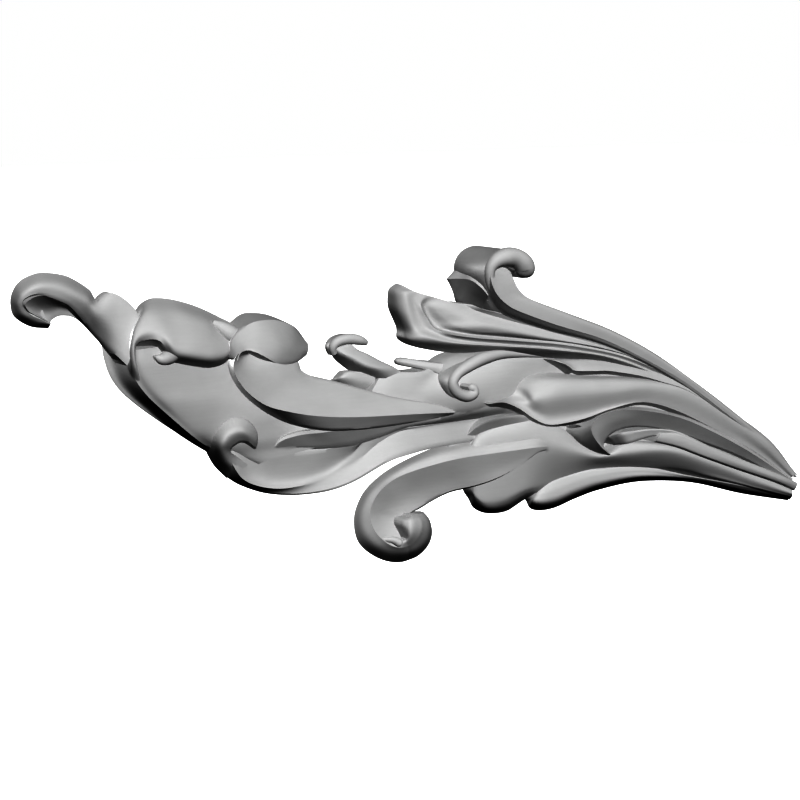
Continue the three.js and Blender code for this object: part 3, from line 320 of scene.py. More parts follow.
                388.5, 309, 0, 399, 312.5, 7, 408.5, 314, 10.5, 418, 317, 10.5, 427, 319, 12.2,
                431, 320, 9.6, 449, 321, 13.6, 470, 319, 16.3, 492, 316, 15.5, 500, 313, 17.5,
            ),
            (
                387.5, 298, 0, 397, 301.5, 6.5, 406, 302, 9.8, 414, 306, 9.8, 421.5, 309.5, 11.3,
                426, 311, 9.2, 439, 313, 12, 457, 312.5, 14.5, 475, 310.5, 14, 482, 309, 16,
            ),
            (
                389, 289, 0, 397, 291.5, 5.6, 405.5, 293, 9, 413, 298.5, 9.5, 420.5, 302.5, 10.4,
                425, 304, 9.3, 436, 306, 11.4, 453, 306.5, 13.4, 466, 306, 13.2, 474, 305.5, 14.5,
            ),
            (
                396, 283.5, 0, 403, 286, 4.6, 412, 290.7, 8.4, 419, 293.2, 9.2, 426, 295.3, 9.9,
                432, 297, 10.3, 441, 299.5, 11, 452, 302.5, 12.2, 463, 304, 12.8, 471, 304.5, 13.5,
            ),
        ],
    },
    "slipLeaf": {
        "round": (0.3, 0.3, 0.5, 0.5),
        "sharp": (1,),
        "rows": [
            (788, 474, 5, 789, 473, 7.5, 790, 472, 7, 792, 471, 6),
            (704, 405, 10, 705, 401.5, 17, 707, 399.5, 16, 709, 398, 13.5),
            (653, 384.5, 10, 655, 380, 19, 658, 375, 17.5, 662, 371, 14.5),
            (612, 375.5, 10, 613, 371.5, 20, 617, 367, 18, 622, 362, 14.5),
            (592, 375, 10, 593, 371, 20.3, 592, 366, 18.5, 590, 359.5, 15),
            (577, 375, 10, 577, 371, 20, 573, 366.5, 18.7, 566, 360, 15.5),
            (571, 373, 10, 570, 370, 19.5, 564, 365, 18.8, 552, 360, 16),
            (566, 377, 7, 563, 373, 9, 556, 367.5, 9.5, 543, 359.5, 10.5),
        ],
    },
    "broadLeaf": {
        "round": (0.4, 0.5, 0.4, 0.5),
        "sharp": (1,),
        "rows": [
            (
                788, 480, 6, 789, 478, 8.5, 790, 477, 8.3,
                792, 476, 9, 794, 474.5, 8.7, 795, 474, 7,
            ),
            (
                752, 455, 9, 754, 452, 12, 757, 449, 12.3,
                762, 445, 13.5, 766, 441, 13, 768, 439, 10,
            ),
            (
                712, 432, 11, 713, 429, 15, 716, 425, 15.5,
                720, 415.5, 16.5, 723, 410, 15.3, 724, 407, 11,
            ),
            (
                672, 413, 12, 674, 410, 17.5, 678, 406, 17.8,
                683, 396, 18.5, 688, 390, 17, 690, 387, 11.5,
            ),
            (
                640, 405, 13, 641, 402, 19, 643, 399, 19.2,
                647, 388, 20, 651, 381.5, 18, 652, 378, 11.5,
            ),
            (
                610, 412, 14, 609, 409, 20, 609, 405, 19.6,
                611, 391, 21, 614, 380, 18.5, 615, 376, 12,
            ),
            (
                588, 420.5, 14, 586, 417.5, 20.3, 584, 411, 19.6,
                582, 393, 21.5, 580, 380.5, 18.8, 581, 375.5, 12,
            ),
            (
                568, 425, 14, 566, 422.5, 20, 563, 414, 19.4,
                559, 395, 21.5, 556, 380, 18.5, 553, 373, 10.5,
            ),
            (
                549, 426.5, 13, 547, 424.5, 19.3, 547, 416, 18.7,
                544, 397, 20.5, 537, 382, 16, 528, 375, 9,
            ),
            (
                534, 422, 12, 532, 418, 18.5, 534, 412, 17.6,
                533, 399, 19, 526, 388, 14.5, 516, 382, 8.5,
            ),
            (
                519, 413, 11, 518, 408.5, 17.5, 522, 406, 16.3,
                525, 401, 16, 519, 395, 12, 510, 390, 8.5,
            ),
            (
                503, 408, 10, 503, 402.5, 16.5, 505, 401, 14.5,
                508, 399, 12.5, 508, 398, 11.5, 507, 396, 9.5,
            ),
            (
                489, 407, 10, 488, 404, 15, 489, 403, 14,
                490, 402, 12, 490, 401.5, 11, 490, 401, 9,
            ),
        ],
    },
    "curlLeaf": {
        "round": (0.5, 0.5, 0.5, 0.5),
        "sharp": (2,),
        "rows": [
            (789, 484, 7, 790, 482, 7.5, 791, 480, 8, 792, 478, 7),
            (745, 459, 13, 746, 455, 14.5, 747, 451, 16, 748, 448, 12),
            (704, 443, 14, 706, 436, 16.5, 708, 430, 18.5, 710, 427, 14),
            (672, 432, 15, 675, 425, 17.5, 678, 417.5, 20, 680, 415, 15),
            (645, 427, 16, 646, 419, 18.5, 647, 411, 21, 648, 408.5, 16),
            (625, 428, 16.5, 622, 419, 19.5, 619, 410, 21.5, 614, 409, 16),
            (612, 433, 16.5, 607, 424, 19.5, 602, 414, 21.5, 592, 417, 14),
            (605, 440, 16.5, 598, 433, 19.5, 591, 424, 21, 577, 430, 13),
            (603, 447, 15.5, 598, 442, 18.5, 591, 434, 20, 579, 441, 13),
            (608, 452, 14, 605, 451, 16.5, 600, 447, 18, 591, 450, 13),
            (611, 455, 12.5, 610, 455, 14, 609, 454.5, 15, 605, 456, 12),
        ],
    },
    "foldTip": {
        "round": (0.5, 0.5, 0.5, 0.5),
        "sharp": (),
        "rows": [
            (788, 487, 8, 790, 483, 8.5),
            (745, 470, 11.5, 747, 464, 12),
            (705, 452, 14, 707, 445, 15),
            (675, 439, 15.5, 675, 431, 17),
            (655, 436, 17, 650, 429, 18),
            (640, 439.5, 17.5, 635, 430.5, 18.5),
            (627, 443.5, 18, 621, 432.5, 19),
            (614, 445, 13, 607, 437, 13.5),
        ],
    },
    "lowerLeaf": {
        "round": (0.5, 0.5, 1, 1),
        "sharp": (),
        "rows": [
            (789, 499, 2, 790, 497, 7, 791, 495.5, 8.5, 791, 493, 9.5, 791, 489, 8),
            (752, 492, 3, 753, 488, 9, 752, 485, 10.5, 751, 479, 12, 752, 472, 11),
            (712, 483, 4, 712, 478, 10, 711, 473, 12, 709, 463, 14.5, 710, 455, 13),
            (672, 476, 2, 672, 471, 7, 670, 466, 11, 667, 452, 16, 668, 445, 15),
            (630, 477, 1.5, 630, 472, 5.5, 628, 466, 9, 626, 454, 14.5, 627, 443, 13.5),
            (597, 482, 1, 596, 474.5, 5.5, 595, 467, 8.5, 598, 457, 13.5, 604, 452, 11.5),
            (572, 489, 1, 570, 482, 5, 569, 473, 8.5, 574, 452, 13.5, 582, 443, 10.5),
            (552, 497, 0.5, 550, 489, 5, 549, 478, 8.5, 550, 446, 13.8, 562, 428, 10.5),
            (530, 497, 3, 528, 491, 9, 526, 480, 11, 522, 437, 13, 530, 412, 9),
            (508, 510, 0, 505, 503, 7.5, 501, 488, 9.5, 494, 437, 10.5, 499, 418, 5),
            (488, 513, 0, 487, 506, 7, 481, 490, 8.5, 478, 440, 9, 481, 427, 1),
            (474, 508, 0, 476, 500, 6.5, 474, 488, 7.5, 470, 448, 7.5, 474, 433, 0),
            (468, 498, 0, 470, 492, 5, 470, 483, 6, 468, 455, 5.5, 470, 441, 0),
        ],
    },
    "lowerLobe": {
        "round": (0.5, 0.5, 0.5, 0.5),
        "sharp": (),
        "rows": [
            (787, 500, 0, 788, 498, 4, 789, 496, 6, 790, 494, 7),
            (740, 493, 0, 740, 490, 6, 741, 487, 8.5, 742, 485, 9.5),
            (690, 482, 0, 690, 479.5, 7, 691, 477.5, 9, 692, 476, 9.5),
            (640, 481, 0, 640, 477, 8.5, 641, 471.5, 9.3, 642, 466, 8.8),
            (600, 489, 0, 600, 484, 8.5, 601, 476, 9.5, 603, 468, 8.5),
            (575, 498, 0, 576, 492, 8.5, 578, 482, 9.5, 580, 471, 8.3),
            (555, 507, 0, 556, 500.5, 8.3, 558, 490, 9.3, 560, 477, 8),
            (540, 510, 0, 542, 503.5, 7.8, 545, 494.5, 8.8, 548, 482, 7.5),
            (530, 508, 0, 533, 502, 6.5, 537, 495, 7.5, 541, 487, 7),
            (526, 501, 0, 530, 498, 4.5, 533, 494, 5.5, 536, 490, 6),
        ],
    },
    "dropLeaf": {
        "round": (0.3, 0.3, 0.6, 1),
        "sharp": (2,),
        "rows": [
            (556, 434, 9, 557, 440, 10, 558, 446, 10.5, 558, 448, 10, 557, 451, 9),
            (537, 431, 10, 537, 440, 14, 538, 447, 15.5, 539, 450, 15, 539, 452, 14.5),
            (515, 431, 6, 515, 441, 12.5, 515, 450, 15, 518, 459, 14, 520, 466, 13.5),
            (490, 434, 2, 490, 444, 10, 490, 453.5, 13.5, 494, 468, 12, 497, 479, 11.5),
            (462, 439, 0, 462, 448, 8, 463, 457.5, 12, 469, 475, 10, 474, 487, 9),
            (435, 447, 0, 436, 454.5, 7, 439, 463, 10, 446, 480, 7.5, 452, 492, 6.5),
            (407, 459, 0, 409, 465, 6, 414, 470.5, 8.5, 425, 487, 6, 435, 500, 5),
            (383, 473, 0, 388, 477, 5, 396, 478, 7.5, 410, 495, 5, 422, 508, 4.5),
            (365, 490, 0, 371.5, 491.5, 4.5, 381, 489.5, 7.5, 398, 502, 5, 413, 513, 4.5),
            (356, 508, 0, 363, 508, 4, 372, 504, 7, 390, 509, 5, 410, 518, 4.5),
            (354, 524, 0, 361.5, 522.5, 4, 370, 517.5, 7, 386, 517, 5, 409, 523, 4.5),
            (358, 541, 0, 366, 536, 5, 374.5, 530.5, 8, 386, 526.5, 6, 407, 527, 5),
            (370, 553, 0, 376, 546.5, 6, 382.5, 539.5, 9, 391, 533, 7, 405, 530, 6),
            (386, 560.5, 0, 389, 553, 6, 391.5, 545.5, 9.5, 395, 539.5, 8.5, 401, 535, 7),
            (402, 561.5, 0, 402, 554, 7, 402, 547, 10.5, 402, 542, 11, 403, 538, 9.5),
            (417, 556, 0, 414.5, 550.5, 6.9, 411, 544, 10.3, 408, 539, 11.8, 405, 536, 10.3),
        ],
    },
    "dropBall": {
        "round": (0.3, 0.3, 0.6, 1),
        "sharp": (2,),
        "rows": [
            (402, 561.5, 0, 402, 554, 6.3, 402, 547, 9.8, 402, 542, 10.3, 403, 538, 8.8),
            (417, 556, 0, 414.5, 550.5, 7.5, 411, 544, 11, 408, 539, 12.5, 405, 536, 11),
            (428, 545, 0, 424.5, 541.5, 8, 418, 536, 12.5, 410, 532.5, 14, 404, 530, 11.5),
            (432, 532, 0, 428.5, 530, 8, 421, 527.5, 12.8, 411, 525.5, 14, 402.5, 524.5, 11.5),
            (430, 520, 1, 427, 520, 7, 420.5, 519.5, 11.5, 411, 519, 12.8, 403, 519, 10.5),
            (424, 512, 3, 420.5, 513.5, 6.5, 416, 514.5, 9, 411, 515, 10, 407, 516.5, 8.5),
        ],
    },
    "backLeaf": {
        "round": (0.5, 0.5, 0.5, 0.5),
        "sharp": (),
        "rows": [
            (790, 490, 5, 791, 487, 6, 792, 484, 6, 793, 481, 6),
            (700, 452, 7, 703, 440, 9, 705, 425, 9, 712, 408, 9),
            (620, 430, 8, 621, 415, 10.5, 622, 400, 11, 626, 372, 12),
            (560, 426, 7, 560, 412, 8.5, 562, 398, 9, 566, 360, 9.5),
            (525, 421, 5.5, 524, 409, 8.5, 528, 392, 9, 540, 354, 10.5),
            (498, 416, 5, 495, 404, 10.5, 500, 385, 11.3, 512, 352, 9),
            (470, 420, 6, 466, 408, 11.5, 468, 385, 12, 488, 351, 7),
            (440, 426, 6, 436, 411, 11, 436, 388, 11.5, 456, 356, 5),
            (415, 428, 6, 411, 413, 10.5, 412, 395, 11, 424, 371, 9.5),
            (388, 420, 6, 388, 408, 9.5, 390, 392, 10, 398, 372.5, 8.5),
            (366, 405, 5, 368, 399, 8, 372, 390, 8.5, 379, 378, 7),
        ],
    },
    "lipHollow": {
        "round": (0.3, 0.3, 0.3, 0.3),
        "sharp": (),
        "rows": [
            (563, 430, 2, 570, 428, 8, 578, 425, 14),
            (572, 438, 2, 578, 434, 8, 586, 430, 14),
            (580, 445, 2, 585, 441, 8, 589, 437, 14),
            (591, 450.5, 2, 594, 448, 8, 597, 446, 14),
            (604, 454.5, 2, 605, 453.5, 7, 606, 452, 12),
        ],
    },
    "sliver": {
        "round": (0.5, 1, 0.5, 1),
        "sharp": (),
        "rows": [
            (446, 376, 10, 449, 370, 10.5, 452, 364, 10),
            (423, 370, 7.5, 424, 366, 8, 426, 361.5, 7.5),
            (405, 366.5, 3.6, 405, 362.5, 4.2, 407, 358.5, 3.6),
            (397.5, 364.3, 1.6, 397.5, 361.3, 2, 399, 358.3, 1.6),
            (394.8, 362, 0.6, 395, 360.5, 0.8, 395.6, 359, 0.6),
        ],
    },
    "stemFlute": {
        "round": (1, 1.5, 1, 1),
        "sharp": (),
        "rows": [
            (793, 490.5, 8, 795, 486.5, 9, 796.5, 482.5, 9),
            (777, 483, 12, 778, 478.5, 13, 779, 474, 12),
            (737, 469.5, 15, 738.5, 464, 16, 740, 458.5, 15),
            (705, 458, 17, 706, 451.5, 17.5, 707, 445, 17),
            (677, 447.5, 17.5, 679, 441, 18, 681, 434, 17.5),
            (654, 442, 18, 656.5, 437, 18.5, 659, 432.5, 18),
        ],
    },
    "stemPlate": {
        "round": (0.3, 0.3, 0.3, 0.3),
        "sharp": (),
        "rows": [
            (500, 432, 4, 500, 424, 4.5, 500, 412, 4.5),
            (430, 432, 4.5, 430, 426, 5, 430, 418, 5),
            (380, 440, 5, 378, 434, 5.5, 378, 424, 5),
            (280, 462, 3, 276, 455, 3.5, 276, 442, 3),
        ],
    },
    "tendrilWall": {
        "round": (0.3, 0.3, 0.3, 0.3),
        "sharp": (),
        "rows": [
            (500, 347, 10, 502, 348, 13, 505, 350, 15),
            (472, 350, 6, 478, 350, 11, 488, 351, 16),
            (447, 354, 4, 456, 355, 9.5, 470, 357, 16),
            (434, 360, 3, 444, 362, 9, 459, 365, 15.5),
            (430, 367, 4, 440, 370, 9.5, 452, 374, 15),
            (437, 378, 8, 442, 379, 11, 450, 381, 15),
        ],
    },
    "hookBase": {
        "round": (0.5, 0.5, 0.5, 0.5),
        "sharp": (),
        "rows": [
            (372, 393, 4, 374, 384, 6, 376, 375, 6),
            (355, 389, 3.5, 358, 381, 5.5, 361, 372, 5.5),
            (343, 385, 2.5, 343, 378, 5, 347, 372, 4.5),
            (335, 382, 1, 336, 378.5, 2.5, 339, 374.5, 2),
            (331.5, 381, 0.5, 332, 380, 1, 333, 379, 0.5),
        ],
    },
    "stemLens": {
        "round": (0.3, 0.3, 0.3, 0.3),
        "sharp": (),
        "rows": [
            (552, 434, 7, 549, 428, 8, 546, 420, 8),
            (530, 434, 7, 526, 425, 10, 522, 415, 12),
            (500, 438, 5.5, 497, 428, 8.8, 495, 418, 12),
            (480, 441, 4.5, 477, 433, 7.5, 478, 425, 10),
            (466, 443, 3.5, 464.5, 440, 5.5, 465, 436, 6.8),
        ],
    },
    "waveGulf": {
        "round": (0.3, 0.3, 0.3, 0.3),
        "sharp": (),
        "rows": [
            (512, 414, 5, 510, 406, 9.5, 508, 397, 10.5),
            (490, 417, 5, 488, 410, 9.8, 487, 399, 10.9),
            (470, 420, 5, 468, 413, 10, 467, 402, 11.2),
            (452, 423.5, 5.5, 450, 417, 10, 449, 408, 11.4),
            (430, 426.5, 6, 428, 421.5, 9.5, 427, 414, 11),
            (405, 428.5, 7, 404, 426, 9, 404, 421, 11),
        ],
    },
    "dropPlate": {
        "round": (0.3, 0.3, 0.3, 0.3),
        "sharp": (),
        "rows": [
            (504, 452, 4, 502, 442, 4, 500, 430, 4),
            (480, 450, 4, 479, 442, 4, 478, 431, 4),
            (447, 450, 3.5, 449, 443, 3.5, 452, 434, 3.5),
        ],
    },
    "underPlate": {
        "round": (0.3, 0.3, 0.3, 0.3),
        "sharp": (),
        "rows": [
            (760, 482, 4, 760, 474, 4.5, 760, 464, 4),
            (700, 474, 5, 700, 455, 5.5, 700, 434, 5),
            (650, 470, 5, 650, 450, 5.5, 650, 424, 5),
            (600, 468, 5, 600, 450, 5.5, 600, 424, 5),
            (560, 460, 5, 560, 445, 5.5, 560, 416, 5),
            (530, 456, 5, 530, 440, 5, 530, 414, 5),
        ],
    },
    "hookPlate": {
        "round": (0.3, 0.3, 0.3, 0.3),
        "sharp": (),
        "rows": [
            (51, 323, 1.5, 47, 318, 1.5, 43, 309, 1.5),
            (35, 324, 1.5, 31, 318, 1.5, 28, 307, 1.5),
            (19, 312, 1.5, 16, 305, 1.5, 17, 291, 1.5),
        ],
    },
    "budPlate": {
        "round": (0.3, 0.3, 0.3, 0.3),
        "sharp": (),
        "rows": [
            (128, 350, 2, 131, 344, 6, 134, 337, 10),
            (150, 351, 2, 151, 344.5, 8, 152, 338, 13.5),
            (166, 356, 2, 167, 350, 8, 169, 343, 14),
        ],
    },
    "crestPlate": {
        "round": (0.3, 0.3, 0.3, 0.3),
        "sharp": (),
        "rows": [
            (466, 306, 4, 466, 299, 4, 468, 290, 4),
            (488, 313, 5, 488, 304, 5, 490, 292, 5),
            (512, 320, 6, 512, 310, 6, 514, 298, 6),
        ],
    },
}

# a rim's route to its rolled tip: across and down the picture, height of its middle, radius
rims = {
    "budTip": [
        (178, 346, 16.5, 2.6), (174, 352, 15.5, 3), (168, 357, 14.5, 3),
        (161, 359, 14, 2.1), (155, 356.5, 14, 0.6),
    ],
    "budFold": [
        (212, 322, 8.5, 1), (220, 327, 9.5, 2.6), (228, 333, 10, 3.6),
        (235, 338, 9.5, 3.4), (239, 344, 8.5, 2),
    ],
    "crestScroll": [
        (495, 300, 20, 1), (490, 288, 21, 1.8), (488, 277, 21.5, 2.2),
        (489, 268, 21.8, 2.5), (494.5, 261, 22, 3.2), (503, 257.5, 22, 3.9),
        (512, 258, 21.5, 4.2), (519.5, 262.5, 21.5, 4.5), (522.5, 269, 21, 4.7),
        (520, 278, 20.5, 4.7),
    ],
    "crestLip": [
        (493, 270, 20, 0.8), (498, 264.5, 20.5, 1.5), (505, 263, 20.5, 2),
        (511, 266.5, 20, 2.3), (513, 272, 19, 1.8),
    ],
    "tendril": [
        (562, 356, 9, 0.6), (540, 355.5, 12, 0.9), (520, 354.5, 14, 1.3),
        (500, 354.5, 16, 2), (482, 358.5, 17, 2.7), (467, 366, 17.5, 2.6),
        (456, 374, 17.5, 2.3), (451.5, 383, 17.5, 2.3), (456, 392, 17.5, 2.4),
        (465, 396, 17.5, 2.4), (472, 393.5, 17.5, 2.3), (472, 388.5, 17.5, 2),
        (467, 387, 17.5, 1.5),
    ],
    "hookLip": [
        (334, 354, 3, 1.4), (332.8, 347, 3.5, 1.9), (337.8, 341.5, 4, 2.1),
        (348, 339, 4.5, 2.2), (359, 340.3, 5, 2), (367.5, 343.3, 5, 1),
    ],
    "dropTip": [
        (378, 539.5, 7.5, 0.5), (386, 539, 8.5, 1), (394, 540, 9.5, 1.6),
        (401, 544, 10.5, 2),
    ],
}


def fromSight(turn, lift):
    # from the object towards whoever looks at it
    a, e = math.radians(turn), math.radians(lift)
    return Vector((math.sin(a) * math.cos(e), -math.cos(a) * math.cos(e), math.sin(e)))


towards = -fromSight(sight["turn"], sight["lift"])
rightwards = towards.cross(Vector((0, 0, 1))).normalized()
upwards = rightwards.cross(towards)
eye = Vector(sight["aim"]) - towards * sight["distance"]
lensPixels = sight["lens"] / sight["sensor"] * sight["picture"]


def onBoard(across, down, height):
    # where a picture point lies on the onlay: x, z and the same height
    middle = sight["picture"] / 2
    ray = towards + rightwards * ((across - middle) / lensPixels)
    ray += upwards * ((middle - down) / lensPixels)
    reach = (-height - eye.y) / ray.y
    return Vector((eye.x + ray.x * reach, eye.z + ray.z * reach, height))


def smoothAt(points, t):
    # smooth curve through points, at point number t
    i = min(int(t), len(points) - 2)
    f = t - i
    a = points[i - 1] if i else 2 * points[0] - points[1]
    b, c = points[i], points[i + 1]
    d = points[i + 2] if i + 2 < len(points) else 2 * points[-1] - points[-2]
    square, cube = 2 * a - 5 * b + 4 * c - d, 3 * b - a - 3 * c + d
    return 0.5 * (2 * b + (c - a) * f + square * f**2 + cube * f**3)


def edgeDrop(inside, width, drop):
    # how far a rounded edge lies below its leaf, at a distance in from the edge
    share = max(0.0, 1 - inside / max(width, 1e-6))
    return drop * (1 - math.sqrt(max(0.0, 1 - share * share)))


def acrossLeaf(knots, sharp):
    # the cross section through a row's knots, with a crease at each sharp one
    cuts = [0, *sharp, len(knots) - 1]
    line = []
    for start, end in zip(cuts, cuts[1:]):
        stretch = knots[start:end + 1]
        steps = (end - start) * carving["stepsPerKnot"]
        line += [smoothAt(stretch, k / carving["stepsPerKnot"]) for k in range(steps)]
    return line + [knots[-1]]


def leafSection(knots, leaf):
    # the same section with its two edges rounded
    nearWide, nearDrop, farWide, farDrop = leaf["round"]
    line = acrossLeaf(knots, leaf["sharp"])
    walked = [0.0]
    for here, there in zip(line, line[1:]):
        walked.append(walked[-1] + (there.xy - here.xy).length)
    width = walked[-1]
    nearFall = min(nearDrop, knots[0].z * carving["edgeShare"])
    farFall = min(farDrop, knots[-1].z * carving["edgeShare"])
    section = []
    for point, along in zip(line, walked):
        height = point.z - edgeDrop(along, min(nearWide, width / 2), nearFall)
        height -= edgeDrop(width - along, min(farWide, width / 2), farFall)
        section.append((point.x, -max(height, carving["lowestFace"]), point.y))
    return section


def asObject(name, bm):
    mesh = bpy.data.meshes.new(name)
    bm.to_mesh(mesh)
    bm.free()
    made = bpy.data.objects.new(name, mesh)
    bpy.context.scene.collection.objects.link(made)
    return made


def asPart(name, bm):
    # merged, free of slivers and facing outwards
    bmesh.ops.remove_doubles(bm, verts=bm.verts, dist=carving["mergeWithin"])
    bmesh.ops.dissolve_degenerate(bm, edges=bm.edges, dist=carving["shortestEdge"])
    bmesh.ops.triangulate(bm, faces=bm.faces)
    bmesh.ops.recalc_face_normals(bm, faces=bm.faces)
    return asObject(name, bm)


def closedFromFace(name, bm):
    # walls from the face's border down past the back, then a flat foot
    border = [edge for edge in bm.edges if edge.is_boundary]
    walls = bmesh.ops.extrude_edge_only(bm, edges=border)["geom"]
    foot = [part for part in walls if isinstance(part, bmesh.types.BMVert)]
    for vert in foot:
        vert.co.y = carving["backAllowance"]
    bmesh.ops.holes_fill(bm, edges=[edge for edge in bm.edges if edge.is_boundary], sides=0)
    return asPart(name, bm)


def makeLeaf(name, leaf):
    # a grid laid over the leaf's sections
    rows = [[onBoard(*row[k:k + 3]) for k in range(0, len(row), 3)] for row in leaf["rows"]]
    along = (len(rows) - 1) * carving["stepsPerRow"]
    across = (len(rows[0]) - 1) * carving["stepsPerKnot"]
    sections = []
    for k in range(along + 1):
        knots = [smoothAt(line, k / carving["stepsPerRow"]) for line in zip(*rows)]
        sections.append(leafSection(knots, leaf))
    bm = bmesh.new()
    bmesh.ops.create_grid(bm, x_segments=along, y_segments=across, size=0.5)
    for vert in bm.verts:
        vert.co = sections[round((vert.co.x + 0.5) * along)][round((vert.co.y + 0.5) * across)]
    return closedFromFace(name, bm)


def makeRim(name, route):
    # a round bar along its route, drawn in at the rolled tip
    rows = [onBoard(across, down, height).to_4d() for across, down, height, radius in route]
    for row, knot in zip(rows, route):
        row.w = knot[3]
    along = (len(rows) - 1) * carving["stepsPerRow"]
    sections = [smoothAt(rows, k / carving["stepsPerRow"]) for k in range(along + 1)]
    toTip = [0.0] * (along + 1)
    for k in reversed(range(along)):
        toTip[k] = toTip[k + 1] + (sections[k + 1].xy - sections[k].xy).length
    undercut = math.radians(carving["rimUndercut"])
    bm = bmesh.new()
    bmesh.ops.create_grid(bm, x_segments=along, y_segments=carving["rimStepsAround"], size=0.5)
    for vert in bm.verts:
        k = round((vert.co.x + 0.5) * along)
        x, z, height, fullRadius = sections[k]
        run = (sections[min(k + 1, along)] - sections[max(k - 1, 0)]).xy.normalized()
        near = min(1.0, toTip[k] / fullRadius)
        radius = fullRadius * max(carving["rimTipShare"], math.sqrt(1 - (1 - near) ** 2))
        angle = -undercut + (math.pi + 2 * undercut) * (vert.co.y + 0.5)
        across = -math.cos(angle) * radius
        vert.co = (x - run.y * across, -(height + radius * math.sin(angle)), z + run.x * across)
    return closedFromFace(name, bm)


parts = [makeLeaf(name, leaf) for name, leaf in leaves.items()]
parts += [makeRim(name, route) for name, route in rims.items()]
faceCount = sum(len(part.data.polygons) for part in parts)
print("leaves and rims", len(parts), "with", faceCount, "faces")


def makePlaner(parts):
    # a block behind the back, its face in small cells so that the cut back has no huge polygon
    points = [vert.co for part in parts for vert in part.data.vertices]
    reach = max(max(abs(co.x), abs(co.z)) for co in points) + carving["planerCell"]
    cells = math.ceil(2 * reach / carving["planerCell"])
    bm = bmesh.new()
    bmesh.ops.create_grid(bm, x_segments=cells, y_segments=cells, size=reach)
    for vert in bm.verts:
        vert.co = (vert.co.x, 0, vert.co.y)
    face = bm.faces[:] + bm.edges[:] + bm.verts[:]
    block = bmesh.ops.extrude_face_region(bm, geom=face)["geom"]
    far = [part for part in block if isinstance(part, bmesh.types.BMVert)]
    bmesh.ops.translate(bm, vec=(0, carving["planerThick"], 0), verts=far)
    return asPart("planer", bm)


def joinParts(parts, name):
    # everything united, then planed flat behind
    planer = makePlaner(parts)
    whole = parts[0]
    for other in parts[1:] + [planer]:
        join = whole.modifiers.new("join", "BOOLEAN")
        join.object, join.solver = other, "MANIFOLD"
        join.operation = "DIFFERENCE" if other is planer else "UNION"
    ready = whole.evaluated_get(bpy.context.evaluated_depsgraph_get())
    bm = bmesh.new()
    bm.from_mesh(ready.to_mesh())
    for part in parts + [planer]:
        bpy.data.objects.remove(part)
    bmesh.ops.triangulate(bm, faces=bm.faces)
    print("open edges", sum(1 for edge in bm.edges if not edge.is_manifold))
    return asObject(name, bm)


onlay = joinParts(parts, "carvedSpray")
print("joined", len(onlay.data.vertices), "points,", len(onlay.data.polygons), "faces")


def fitToSolid(piece, node):
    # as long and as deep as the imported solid, and in metres
    solidLow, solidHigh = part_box(node)
    xs = [vert.co.x for vert in piece.data.vertices]
    depths = [-vert.co.y for vert in piece.data.vertices]
    alongFit = (solidHigh.x - solidLow.x) / (max(xs) - min(xs))
    depthFit = -solidLow.y / max(depths)
    bm = bmesh.new()
    bm.from_mesh(piece.data)
    bmesh.ops.scale(bm, vec=(alongFit, depthFit, alongFit), verts=bm.verts)
    bm.to_mesh(piece.data)
    bm.free()


fitToSolid(onlay, "carved_onlay")
for polygon in onlay.data.polygons:
    polygon.use_smooth = True
onlay.data.set_sharp_from_angle(angle=math.radians(carving["creaseAngle"]))
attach(onlay, "root")
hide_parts("carved_onlay")
print("fitted to the solid")

primer = {
    "tone": 0.36,
    "toneSpread": 0.012,  # how much the brushed coat varies in tone
    "roughness": 0.6,
    "roughnessSpread": 0.06,
    "grainPerMetre": 900.0,  # lines of grain across the board
    "grainStretch": 0.05,  # of that along the board, so the lines run long
    "grainDetail": 4,
    "grainShare": 0.5,  # how much the grain adds to the mottling
    "mottlePerMetre": 60.0,
    "mottleDetail": 3,
    "mottleRange": (0.3, 0.7),  # of the mottling's noise, from its palest to its darkest
    "bothRange": (0.4, 1.1),  # the same once the grain is added
    "bumpHeight": 0.00006,  # metres
    "bumpStrength": 0.5,
    "specular": 0.12,
}


def addNoise(nodes, links, vector, scale, detail):
    noise = nodes.new("ShaderNodeTexNoise")
    noise.inputs["Scale"].default_value = scale
    noise.inputs["Detail"].default_value = detail
    links.new(vector, noise.inputs["Vector"])
    return noise.outputs["Fac"]


def addSpread(nodes, links, value, valueRange, middle, spread):
    # the value's range laid evenly about a middle
    laid = nodes.new("ShaderNodeMapRange")
    laid.inputs["From Min"].default_value, laid.inputs["From Max"].default_value = valueRange
    laid.inputs["To Min"].default_value = middle - spread
    laid.inputs["To Max"].default_value = middle + spread
    links.new(value, laid.inputs["Value"])
    return laid.outputs["Result"]


